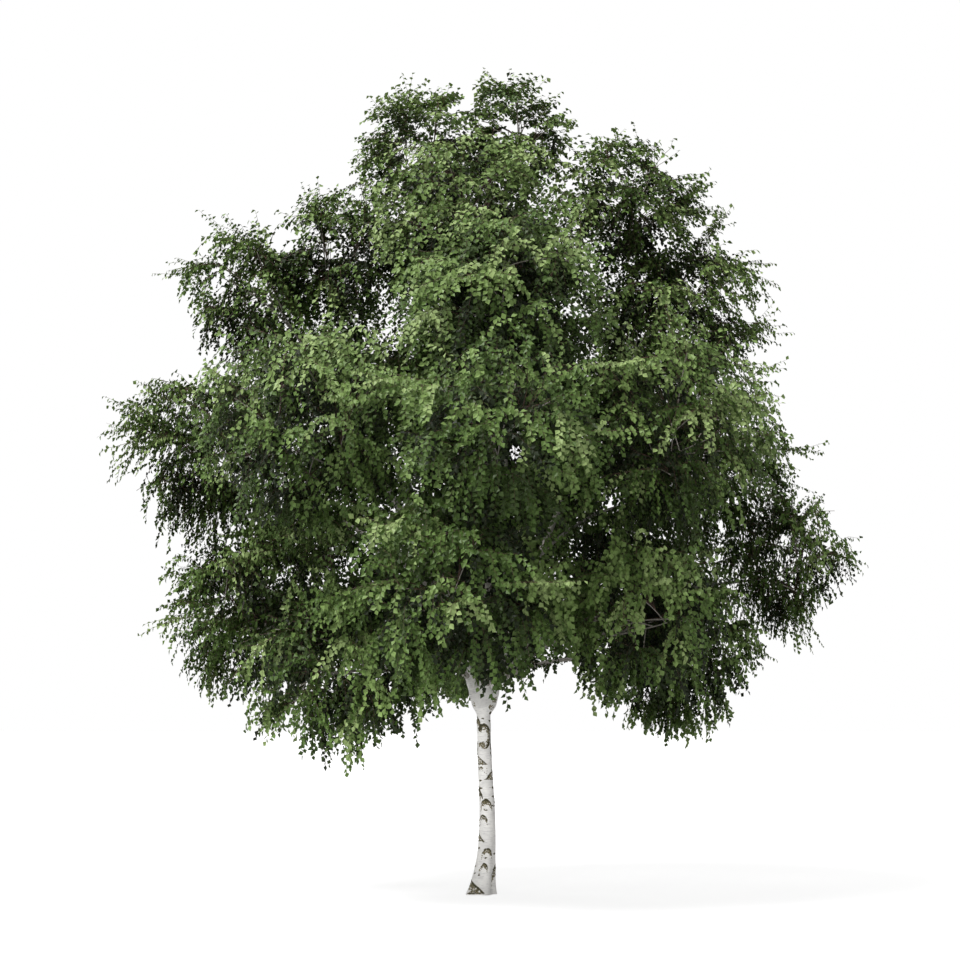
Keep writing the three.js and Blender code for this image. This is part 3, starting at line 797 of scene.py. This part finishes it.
tip_weight = draw.uniform(0.1, 0.6, count) + 1.3 * step(0.05, -0.4, radial[:, 2])
weight = np.where(at_tip, tip_weight, weight) * (1 - 0.85 * high)
length = np.where(at_tip, draw.uniform(*TIP_LENGTH, count), draw.uniform(*SHOOT_LENGTH, count))
length *= 1 - 0.3 * high
weight = np.where(straggling, 0.15 * weight, weight)
length = np.where(straggling, 0.7 * length, length)
reach_share = np.where(straggling, STRAGGLER_SHARE, np.where(at_tip, TIP_SHARE, BODY_SHARE))


def shoot_points(size):
    middle = root + unit(setting_off - UP * (0.25 * weight)[:, None]) * (0.42 * size)[:, None]
    hanging = unit(setting_off - UP * (1.6 * weight)[:, None])
    return middle, middle + hanging * (0.58 * size)[:, None]


def fits(size):
    middle, tip = shoot_points(size)
    in_box = ((tip > box_low) & (tip < box_high)).all(1)
    return (inside(shoot_home, tip, -OVERLAP, reach_share) & in_box
            & inside(shoot_home, middle, -OVERLAP, reach_share))


whole, short = fits(length), fits(0.55 * length)
length = np.where(whole, length, 0.55 * length)
middle, tip = shoot_points(length)
seen_through = in_window(middle) | in_window(tip)
grown = (whole | short) & ~(seen_through & (draw.random(count) < WINDOW_CUT))
# Painted light and shade: a shoot's green is lighter towards the crown's edge and top, where light
# falls, and darker deep inside a mass, where shade falls; the random part is the leaves' own tone
painted_light_by_depth = step(0.45, 0.85, b_depth)
painted_light_and_tone = painted_light_by_depth[parent] + 0.22 * high
painted_light_and_tone += 0.22 * draw.normal(size=len(home))[parent] + 0.2 * draw.normal(size=count)
print("shoots:", int(grown.sum()), "of", count, "have room, mean length", round(length[grown].mean(), 2))

# %% [markdown]
# The limbs aren't bare up to their masses: short leafy spurs stand all round their outer part, and
# hang like the other shoots. They are in the shade, so they get the deeper greens as painted shade.

# %% Spurs on the limbs
SPUR_SPACING = 0.035
SPUR_LENGTH = (0.16, 0.34)
LOWEST_SPUR = 1.95
WISP_VIGOUR = 0.82  # size of the leaves in a wisp, as a share of the others

spur_root = np.concatenate([
    limb.at(draw.uniform(0.3, 1.0, int(0.7 * limb.length / SPUR_SPACING)))
    for limb in (*leaders.values(), *boughs.values())])
setting = unit(draw.normal(size=spur_root.shape) + [0, 0, 0.2])
long = draw.uniform(*SPUR_LENGTH, len(spur_root))[:, None]
spur_middle = spur_root + setting * 0.45 * long
spur_tip = spur_middle + unit(setting - UP * 1.2) * 0.55 * long
free = (spur_tip[:, 2] > LOWEST_SPUR) & ~in_window(spur_middle)
shoot_lines = np.concatenate([np.stack([root, middle, tip], 1)[grown],
                              np.stack([spur_root, spur_middle, spur_tip], 1)[free]])
# Painted shade: the spurs' greens are set dark for the shade of the crown over them
shoot_painted_light_and_tone = np.concatenate([painted_light_and_tone[grown], 0.35 + 0.3 * draw.normal(size=int(free.sum()))])
shoot_vigour = np.concatenate([np.where(straggling, WISP_VIGOUR, 1.0)[grown], np.ones(int(free.sum()))])
print("spurs:", int(free.sum()))

# %% [markdown]
# ## From lines to wood
#
# Thousands of thin stems are one job for Geometry Nodes: the polylines come in as loose edges with
# a thickness on each point, Mesh to Curve makes them splines, and Curve to Mesh sweeps a small
# circle along them, scaled by the thickness. The group has inputs for the number of sides and the
# material, so the same tree makes stems, branchlets and shoots.

# %% A node tree for thin wood
def new_tree(name, *inputs):
    tree = bpy.data.node_groups.new(name, "GeometryNodeTree")
    tree.interface.new_socket("Geometry", in_out="INPUT", socket_type="NodeSocketGeometry")
    for label, kind, value in inputs:
        socket = tree.interface.new_socket(label, in_out="INPUT", socket_type=kind)
        if value is not None:
            socket.default_value = value
    tree.interface.new_socket("Geometry", in_out="OUTPUT", socket_type="NodeSocketGeometry")
    return tree, tree.nodes.new("NodeGroupInput"), tree.nodes.new("NodeGroupOutput")


def add(tree, kind, links=(), **settings):
    """Adds a node, sets its properties, and links or sets its inputs, given as {socket: source}."""
    node = tree.nodes.new(kind)
    for key, value in settings.items():
        setattr(node, key, value)
    for key, source in dict(links).items():
        if isinstance(source, bpy.types.NodeSocket):
            tree.links.new(source, node.inputs[key])
        else:
            node.inputs[key].default_value = source
    return node


def named(tree, name, kind="FLOAT"):
    node = add(tree, "GeometryNodeInputNamedAttribute", {"Name": name}, data_type=kind)
    return node.outputs["Attribute"]


def wood_tree():
    tree, given, result = new_tree(
        "thin wood", ("Sides", "NodeSocketInt", 3), ("Material", "NodeSocketMaterial", None))
    line = add(tree, "GeometryNodeMeshToCurve", {"Mesh": given.outputs["Geometry"]})
    ring = add(tree, "GeometryNodeCurvePrimitiveCircle",
               {"Resolution": given.outputs["Sides"], "Radius": 1.0})
    tube = add(tree, "GeometryNodeCurveToMesh", {
        "Curve": line.outputs["Curve"], "Profile Curve": ring.outputs["Curve"],
        "Scale": named(tree, "thickness"), "Fill Caps": True})
    real = add(tree, "GeometryNodeRealizeInstances", {"Geometry": tube.outputs["Mesh"]})
    finished = add(tree, "GeometryNodeSetMaterial", {
        "Geometry": real.outputs["Geometry"], "Material": given.outputs["Material"]})
    tree.links.new(finished.outputs["Geometry"], result.inputs["Geometry"])
    return tree


def line_object(name, lines, **values):
    """Loose edges through lines (count, points, 3), with values on each point."""
    total, points = lines.shape[:2]
    index = np.arange(total * points).reshape(total, points)
    edges = np.stack([index[:, :-1], index[:, 1:]], -1).reshape(-1, 2)
    mesh = bpy.data.meshes.new(name)
    mesh.from_pydata(lines.reshape(-1, 3).tolist(), edges.tolist(), [])
    for key, value in values.items():
        vector = value.ndim == 3
        attribute = mesh.attributes.new(key, "FLOAT_VECTOR" if vector else "FLOAT", "POINT")
        attribute.data.foreach_set("vector" if vector else "value", value.ravel())
    made = bpy.data.objects.new(name, mesh)
    bpy.context.scene.collection.objects.link(made)
    return made


def run_tree(lines, tree, **inputs):
    """Runs a node tree on an object of lines and keeps the result as a plain mesh."""
    modifier = lines.modifiers.new("grow", "NODES")
    modifier.node_group = tree
    for item in tree.interface.items_tree:
        if item.in_out == "INPUT" and item.name in inputs:
            modifier[item.identifier] = inputs[item.name]
    evaluated = lines.evaluated_get(bpy.context.evaluated_depsgraph_get())
    mesh = bpy.data.meshes.new_from_object(evaluated)
    lines.modifiers.remove(modifier)
    old, lines.data = lines.data, mesh
    bpy.data.meshes.remove(old)
    mesh.name = lines.name
    mesh.calc_loop_triangles()
    print(lines.name, len(mesh.loop_triangles), "triangles")
    return lines


# %% [markdown]
# ## Colours of the wood
#
# The bark's material starts almost white and is broken up in three ways: a slow drift to grey, fine
# level lines from noise that is squeezed along the limb, and the scars, dark at the rim with rough
# tan cork inside. Thinner wood is greyer. Twigs and shoots are dark red-brown and slightly glossy.

# %% Bark materials
def new_material(name):
    material = bpy.data.materials.new(name)
    material.use_nodes = True
    tree = material.node_tree
    return material, tree, tree.nodes["Principled BSDF"]


def colour(code):
    """The linear colour of a web colour code."""
    channels = [int(code[i:i + 2], 16) / 255 for i in (1, 3, 5)]
    return [c / 12.92 if c < 0.04045 else ((c + 0.055) / 1.055) ** 2.4 for c in channels] + [1]


def ramp(tree, value, *stops):
    node = tree.nodes.new("ShaderNodeValToRGB")
    node.color_ramp.elements.remove(node.color_ramp.elements[1])
    for i, (place, tone) in enumerate(stops):
        element = node.color_ramp.elements[0] if i == 0 else node.color_ramp.elements.new(place)
        element.position = place
        element.color = tone
    tree.links.new(value, node.inputs["Fac"])
    return node.outputs["Color"]


def mix(tree, share, a, b):
    node = add(tree, "ShaderNodeMix", data_type="RGBA")
    for socket, source in ((0, share), (6, a), (7, b)):
        if isinstance(source, bpy.types.NodeSocket):
            tree.links.new(source, node.inputs[socket])
        else:
            node.inputs[socket].default_value = source
    return node.outputs[2]


def grain(tree, where, stretch, scale, detail=3.0):
    """Noise on the bark coordinates, stretched by a Mapping node."""
    mapping = add(tree, "ShaderNodeMapping", {"Vector": where, "Scale": stretch})
    node = add(tree, "ShaderNodeTexNoise",
               {"Vector": mapping.outputs["Vector"], "Scale": scale, "Detail": detail})
    return node.outputs["Fac"]


BLACK, WHITE = (0, 0, 0, 1), (1, 1, 1, 1)


def bark_material(name, pale, grey, line_tone, upper=None):
    material, tree, shader = new_material(name)
    where = add(tree, "ShaderNodeAttribute", attribute_name="unrolled").outputs["Vector"]
    scar = add(tree, "ShaderNodeAttribute", attribute_name="scar").outputs["Fac"]
    drift = ramp(tree, grain(tree, where, (1, 1, 1.6), 7), (0.38, BLACK), (0.68, WHITE))
    skin = mix(tree, drift, pale, grey)
    streak = ramp(tree, grain(tree, where, (1, 1, 14), 17), (0.56, BLACK), (0.66, WHITE))
    skin = mix(tree, streak, skin, line_tone)
    # Painted shade: above the fork a leader's bark is mixed towards grey, for the shade of the crown
    # over it
    if upper:
        place = add(tree, "ShaderNodeSeparateXYZ", {
            "Vector": add(tree, "ShaderNodeTexCoord").outputs["Object"]}).outputs["Z"]
        climb = add(tree, "ShaderNodeMapRange", {
            "Value": place, "From Min": FORK_HEIGHT + 0.1, "From Max": FORK_HEIGHT + 1.0})
        skin = mix(tree, climb.outputs["Result"], skin, upper)
    cork = grain(tree, where, (1, 1, 1), 110)
    inside_tone = ramp(tree, cork, (0.36, colour("#3a3826")), (0.50, colour("#6f6951")),
                       (0.66, colour("#a89d82")))
    deep = add(tree, "ShaderNodeAttribute", attribute_name="depth").outputs["Fac"]
    rim = ramp(tree, deep, (0.66, BLACK), (0.92, WHITE))
    inside_tone = mix(tree, rim, inside_tone, colour("#413e2b"))
    covered = ramp(tree, scar, (0.2, BLACK), (0.6, WHITE))
    tree.links.new(mix(tree, covered, skin, inside_tone), shader.inputs["Base Color"])
    rough = mix(tree, covered, ramp(tree, drift, (0, (0.5, 0.5, 0.5, 1)), (1, (0.66, 0.66, 0.66, 1))),
                (0.92, 0.92, 0.92, 1))
    tree.links.new(rough, shader.inputs["Roughness"])
    height = mix(tree, covered, streak, cork)
    bump = add(tree, "ShaderNodeBump", {"Height": height, "Strength": 0.35, "Distance": 0.002})
    tree.links.new(bump.outputs["Normal"], shader.inputs["Normal"])
    shader.inputs["Specular IOR Level"].default_value = 0.35
    return material


def twig_material(name, tone, lighter, scale):
    material, tree, shader = new_material(name)
    where = add(tree, "ShaderNodeTexCoord").outputs["Object"]
    fac = grain(tree, where, (1, 1, 1), scale)
    tree.links.new(ramp(tree, fac, (0.35, colour(tone)), (0.65, colour(lighter))),
                   shader.inputs["Base Color"])
    tree.links.new(ramp(tree, fac, (0.3, (0.45, 0.45, 0.45, 1)), (0.7, (0.7, 0.7, 0.7, 1))),
                   shader.inputs["Roughness"])
    bump = add(tree, "ShaderNodeBump", {"Height": fac, "Strength": 0.3, "Distance": 0.001})
    tree.links.new(bump.outputs["Normal"], shader.inputs["Normal"])
    return material


trunk_bark = bark_material("white birch bark", colour("#f3f1ed"), colour("#dedcd9"), colour("#c6c4c3"))
leader_bark = bark_material("birch bark that greys upwards", colour("#f3f1ed"), colour("#dedcd9"),
                            colour("#c6c4c3"), upper=colour("#a5a199"))
limb_bark = bark_material("grey birch bark", colour("#a9a59e"), colour("#8f8a82"), colour("#746e66"))
twig_bark = twig_material("twig bark", "#8d867c", "#b0aaa1", 60)
shoot_bark = twig_material("shoot bark", "#35231b", "#5e4334", 40)
trunk.data.materials.append(trunk_bark)
leader_piece.data.materials.append(leader_bark)
bough_piece.data.materials.append(limb_bark)
print("bark materials", [m.name for m in (trunk_bark, leader_bark, limb_bark, twig_bark, shoot_bark)])

# %% Stems, branchlets and shoots as wood
thin_wood = wood_tree()


def sampled(limb, points):
    share = np.linspace(0, 1, points)
    return limb.at(share), limb.radius(share)


def wood_piece(name, lines, thickness, sides, material):
    made = line_object(name, lines, thickness=thickness)
    return run_tree(made, thin_wood, Sides=sides, Material=material)


limbs = [*stems, *(t["limb"] for t in twigs)]
lines, thickness = map(np.array, zip(*(sampled(limb, 10) for limb in limbs)))
stem_piece = wood_piece("birch_stems", lines, thickness, 7, twig_bark)

share = np.linspace(0, 1, 5)[None, :, None]
lines = bezier((b_start[:, None], b_handle[:, None], b_end[:, None]), share)
thickness = np.tile(np.linspace(0.0042, 0.0024, 5), (len(lines), 1))
branchlet_piece = wood_piece("birch_branchlets", lines, thickness, 4, shoot_bark)

thickness = np.tile([0.0021, 0.0017, 0.0010], (len(shoot_lines), 1))
halves = len(shoot_lines) // 2
shoot_pieces = [
    wood_piece("birch_shoots_1", shoot_lines[:halves], thickness[:halves], 3, shoot_bark),
    wood_piece("birch_shoots_2", shoot_lines[halves:], thickness[halves:], 3, shoot_bark)]

# %% [markdown]
# ## A leaf
#
# A birch leaf is a rounded triangle with a drawn-out tip, widest a third of the way along, and
# creased along its midrib. Six corners give that outline with four triangles. Leaves that stay in
# the shade of the crown make do with a creased kite of two. Both are as long as a real leaf with
# its stalk, have no teeth, and lie along X with the upper face to +Z.

# %% The leaf's shapes
LEAF_LENGTH = 0.057  # with its stalk
LEAF_HALF_WIDTH = 0.0215
LEAF_FOLD = 0.008  # how far the edges stand above the midrib


def leaf_shape(name, corners, faces):
    mesh = bpy.data.meshes.new(name)
    size = (LEAF_LENGTH, LEAF_HALF_WIDTH, LEAF_FOLD)
    mesh.from_pydata([tuple(c * s for c, s in zip(corner, size)) for corner in corners], [], faces)
    mesh.shade_flat()
    made = bpy.data.objects.new(name, mesh)
    bpy.context.scene.collection.objects.link(made)
    print(name, "has", len(mesh.polygons), "faces and is", LEAF_LENGTH * 1000, "mm long")
    return made


full_leaf = leaf_shape("full leaf", [(0, 0, 0), (1, 0, -0.1), (0.3, 0.8, 0.7), (0.5, 1.06, 1),
                                     (0.3, -0.8, 0.7), (0.5, -1.06, 1)],
                       [(0, 1, 3), (0, 3, 2), (1, 0, 5), (5, 0, 4)])
plain_leaf = leaf_shape("plain leaf", [(0, 0, 0), (0.95, 0, -0.1), (0.38, 1.02, 1), (0.38, -1.02, 1)],
                        [(0, 1, 2), (1, 0, 3)])

# %% [markdown]
# ## Leaves along the shoots
#
# Leaves sit on a shoot one by one, to the left and to the right in turn. Geometry Nodes walk along
# each shoot with Curve to Points, one point every three centimetres. Each leaf points partly along
# the shoot, partly to its own side and partly down, and then rolls about that direction until its
# upper face looks out of the crown and to the sky. Random Value nodes with a fixed seed keep any
# two from being alike. The instances are realized at the end, because only real faces are kept.

# %% A node tree for leaves
def maths(tree, operation, *sources):
    node = tree.nodes.new("ShaderNodeVectorMath")
    node.operation = operation
    for i, source in enumerate(sources):
        socket = node.inputs["Scale"] if operation == "SCALE" and i == 1 else node.inputs[i]
        if isinstance(source, bpy.types.NodeSocket):
            tree.links.new(source, socket)
        else:
            socket.default_value = source
    return node.outputs["Vector"]


def total_of(tree, *vectors):
    total = vectors[0]
    for other in vectors[1:]:
        total = maths(tree, "ADD", total, other)
    return total


def random_vector(tree, amount, seed):
    node = add(tree, "FunctionNodeRandomValue", data_type="FLOAT_VECTOR")
    node.inputs[0].default_value = (-amount,) * 3
    node.inputs[1].default_value = (amount,) * 3
    tree.links.new(seed, node.inputs["Seed"])
    return node.outputs[0]


def leaf_tree():
    tree, given, result = new_tree(
        "leaves on shoots", ("Leaf", "NodeSocketObject", None), ("Spacing", "NodeSocketFloat", 0.03),
        ("Droop", "NodeSocketFloat", 0.7), ("Seed", "NodeSocketInt", 1),
        ("Material", "NodeSocketMaterial", None))
    seed = given.outputs["Seed"]
    line = add(tree, "GeometryNodeMeshToCurve", {"Mesh": given.outputs["Geometry"]})
    points = add(tree, "GeometryNodeCurveToPoints", {
        "Curve": line.outputs["Curve"], "Length": given.outputs["Spacing"]}, mode="LENGTH")
    forward = points.outputs["Tangent"]
    outward = named(tree, "outward", "FLOAT_VECTOR")
    index = add(tree, "GeometryNodeInputIndex").outputs["Index"]
    turn_about = add(tree, "ShaderNodeMath", {0: index, 1: 2.0}, operation="MODULO")
    side_sign = add(tree, "ShaderNodeMath", {0: turn_about.outputs[0], 1: 2.0, 2: -1.0},
                    operation="MULTIPLY_ADD")
    side = maths(tree, "SCALE", maths(tree, "NORMALIZE", maths(tree, "CROSS_PRODUCT", forward, outward)),
                 side_sign.outputs[0])
    down = add(tree, "ShaderNodeCombineXYZ")
    minus = add(tree, "ShaderNodeMath", {0: given.outputs["Droop"], 1: -1.0}, operation="MULTIPLY")
    tree.links.new(minus.outputs[0], down.inputs["Z"])
    points_to = total_of(tree, maths(tree, "SCALE", forward, 0.25), maths(tree, "SCALE", side, 0.8),
                         down.outputs["Vector"], maths(tree, "SCALE", outward, 0.2),
                         random_vector(tree, 0.6, seed))
    other_seed = add(tree, "ShaderNodeMath", {0: seed, 1: 100.0}, operation="ADD")
    faces = total_of(tree, outward, (0.0, 0.0, 0.4), random_vector(tree, 0.7, other_seed.outputs[0]))
    aimed = add(tree, "FunctionNodeAlignRotationToVector", {"Vector": points_to}, axis="X")
    rolled = add(tree, "FunctionNodeAlignRotationToVector",
                 {"Rotation": aimed.outputs["Rotation"], "Vector": faces}, axis="Z", pivot_axis="X")
    chance_size = add(tree, "FunctionNodeRandomValue", {2: 0.82, 3: 1.15}, data_type="FLOAT")
    tree.links.new(seed, chance_size.inputs["Seed"])
    size = add(tree, "ShaderNodeMath", {0: chance_size.outputs[1], 1: named(tree, "vigour")},
               operation="MULTIPLY")
    blade = add(tree, "GeometryNodeObjectInfo", {"Object": given.outputs["Leaf"]})
    placed = add(tree, "GeometryNodeInstanceOnPoints", {
        "Points": points.outputs["Points"], "Instance": blade.outputs["Geometry"],
        "Rotation": rolled.outputs["Rotation"], "Scale": size.outputs[0]})
    real = add(tree, "GeometryNodeRealizeInstances", {"Geometry": placed.outputs["Instances"]})
    finished = add(tree, "GeometryNodeSetMaterial", {
        "Geometry": real.outputs["Geometry"], "Material": given.outputs["Material"]})
    tree.links.new(finished.outputs["Geometry"], result.inputs["Geometry"])
    return tree


# %% [markdown]
# ## The greens
#
# Seen close, a birch shows several greens at once. All leaves of one shoot share one of six greens.
# The green is painted light and shade: it is lighter towards the crown's edge and top, where light
# falls, and darker, down to a near-black green, deep inside a mass, where shade falls. It also differs
# a little from branchlet to branchlet and more from shoot to shoot, as the leaves' own tone. Each green
# is a piece of its own with a plain base colour. The leaf's surface is a soft gloss, broken by fine
# noise in its roughness and in its bump.

# %% Leaf materials and leaves
LEAF_SPACING = 0.030
FULL_LEAVES = 2  # this many of the greens, the lightest first, have the full leaf
# Painted light and shade: the lighter greens stand for lit leaves, the darkest, near-black one for
# leaves in the crown's deep shade
GREENS = ["#889c61", "#6f8749", "#587135", "#455d26", "#324419", "#19250a"]  # lightest first
GREEN_LIMITS = [0.20, 0.40, 0.58, 0.75, 0.92]  # shares of the shoots, from the darkest green up


def leaf_material(name, code):
    material, tree, shader = new_material(name)
    shader.inputs["Base Color"].default_value = colour(code)
    shader.inputs["Specular IOR Level"].default_value = 0.28
    where = add(tree, "ShaderNodeTexCoord").outputs["Object"]
    gloss = grain(tree, where, (1, 1, 1), 90)
    tree.links.new(ramp(tree, gloss, (0.3, (0.42, 0.42, 0.42, 1)), (0.7, (0.62, 0.62, 0.62, 1))),
                   shader.inputs["Roughness"])
    bump = add(tree, "ShaderNodeBump",
               {"Height": grain(tree, where, (1, 1, 1), 240, 1.0), "Strength": 0.25, "Distance": 0.001})
    tree.links.new(bump.outputs["Normal"], shader.inputs["Normal"])
    return material


limits = np.quantile(shoot_painted_light_and_tone, GREEN_LIMITS)
green = len(GREENS) - 1 - np.searchsorted(limits, shoot_painted_light_and_tone)

leaves_on_shoots = leaf_tree()
outward = unit(shoot_lines[:, 1] - [0, 0, CROWN_HEART])
leaf_pieces = []
leaf_count = 0
for i, code in enumerate(GREENS):
    shape = full_leaf if i < FULL_LEAVES else plain_leaf
    chosen = green == i
    held = np.repeat(outward[chosen][:, None], 3, axis=1)
    vigour = np.repeat(shoot_vigour[chosen][:, None], 3, axis=1)
    shoots = line_object(f"birch_leaves_{i + 1}", shoot_lines[chosen], outward=held, vigour=vigour)
    leaf_pieces.append(run_tree(
        shoots, leaves_on_shoots, Leaf=shape, Spacing=LEAF_SPACING, Droop=0.75, Seed=i + 1,
        Material=leaf_material(f"leaf green {i + 1}", code)))
    leaf_count += len(shoots.data.polygons) // len(shape.data.polygons)
for shape in (full_leaf, plain_leaf):
    bpy.data.objects.remove(shape)
print("leaves:", leaf_count)

# %% [markdown]
# ## Floor, light and camera
#
# The tree stands on a plain pale floor under soft light from all round, as in a white studio, with
# one large soft sun from the upper left to model the crown. The trunk stands in the crown's shade,
# so a second soft lamp from the front left lifts it. A white studio that looks white would flood
# the crown with light from every side, so the floor and the backdrop look brighter than the light
# that they cast.

# %% Floor, light and camera
FLOOR_SIZE = 400
FLOOR_SEEN, FLOOR_CAST = 0.81, 0.26  # how bright the floor looks, and the light it casts
SKY_SEEN, SKY_CAST = 1.0, 0.58
SUN_STRENGTH, SUN_ANGLE, SUN_TURN = 3.9, 26, (36, 0, -56)
LAMP_POWER, LAMP_CONE, LAMP_PLACE = 1700, 20, (-3.2, -9.0, 1.15)

floor_mesh = bpy.data.meshes.new("floor")
edge = FLOOR_SIZE / 2
floor_mesh.from_pydata([(-edge, -edge, 0), (edge, -edge, 0), (edge, edge, 0), (-edge, edge, 0)], [],
                       [(0, 1, 2, 3)])
floor = bpy.data.objects.new("floor", floor_mesh)
bpy.context.scene.collection.objects.link(floor)
floor_material, floor_tree, floor_shader = new_material("pale floor")
floor_shader.inputs["Base Color"].default_value = (0.28, 0.28, 0.28, 1)
floor_shader.inputs["Roughness"].default_value = 0.9
floor_shader.inputs["Emission Color"].default_value = (1, 1, 1, 1)
floor_mesh.materials.append(floor_material)

bpy.context.scene.view_settings.view_transform = "Standard"
world = bpy.data.worlds.new("studio")
bpy.context.scene.world = world
world.use_nodes = True
sky_tree = world.node_tree


def brightness(tree, seen, cast):
    """One strength for what is seen directly, and another for the light it casts on the tree."""
    seen_directly = add(tree, "ShaderNodeLightPath").outputs["Is Camera Ray"]
    return add(tree, "ShaderNodeMapRange", {
        "Value": seen_directly, "To Min": cast, "To Max": seen}).outputs["Result"]


floor_tree.links.new(brightness(floor_tree, FLOOR_SEEN, FLOOR_CAST),
                     floor_shader.inputs["Emission Strength"])
sky_tree.nodes["Background"].inputs["Color"].default_value = (1, 1, 1, 1)
sky_tree.links.new(brightness(sky_tree, SKY_SEEN, SKY_CAST),
                   sky_tree.nodes["Background"].inputs["Strength"])

sun_data = bpy.data.lights.new("sun", "SUN")
sun_data.energy = SUN_STRENGTH
sun_data.angle = math.radians(SUN_ANGLE)
sun = bpy.data.objects.new("sun", sun_data)
sun.rotation_euler = tuple(math.radians(turn) for turn in SUN_TURN)
bpy.context.scene.collection.objects.link(sun)

fill_data = bpy.data.lights.new("trunk light", "SPOT")
fill_data.energy = LAMP_POWER
fill_data.spot_size = math.radians(LAMP_CONE)
fill_data.spot_blend = 1.0
fill_data.shadow_soft_size = 0.6
fill = bpy.data.objects.new("trunk light", fill_data)
fill.location = LAMP_PLACE
fill.rotation_euler = (math.radians(90), 0, -math.atan2(-LAMP_PLACE[0], -LAMP_PLACE[1]))
bpy.context.scene.collection.objects.link(fill)

camera_data = bpy.data.cameras.new("camera")
camera_data.lens = 67.8
camera_data.clip_end = 1000
camera = bpy.data.objects.new("camera", camera_data)
camera.location = EYE
camera.rotation_euler = (math.radians(97.5), 0, 0)
bpy.context.scene.collection.objects.link(camera)
bpy.context.scene.camera = camera

# %% [markdown]
# ## Pieces and bodies
#
# Each piece rides on the part's one body, and the solids that it stands for are hidden.

# %% Pieces and bodies
foliage_nodes = [name for name in node_names if name.startswith("foliage_")]
pieces = [
    (trunk, "bark", ["trunk"]),
    (leader_piece, "bark", [name for name in node_names if name.startswith("leader_")]),
    (bough_piece, "bough_bark", [name for name in node_names if name.startswith("bough_")]),
    (stem_piece, "bough_bark", foliage_nodes),
    (branchlet_piece, "bough_bark", foliage_nodes),
    *((piece, "bough_bark", foliage_nodes) for piece in shoot_pieces),
    *((piece, "foliage", foliage_nodes) for piece in leaf_pieces),
]
for piece, slot, stood_for in pieces:
    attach(piece, "root")
    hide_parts(*stood_for)
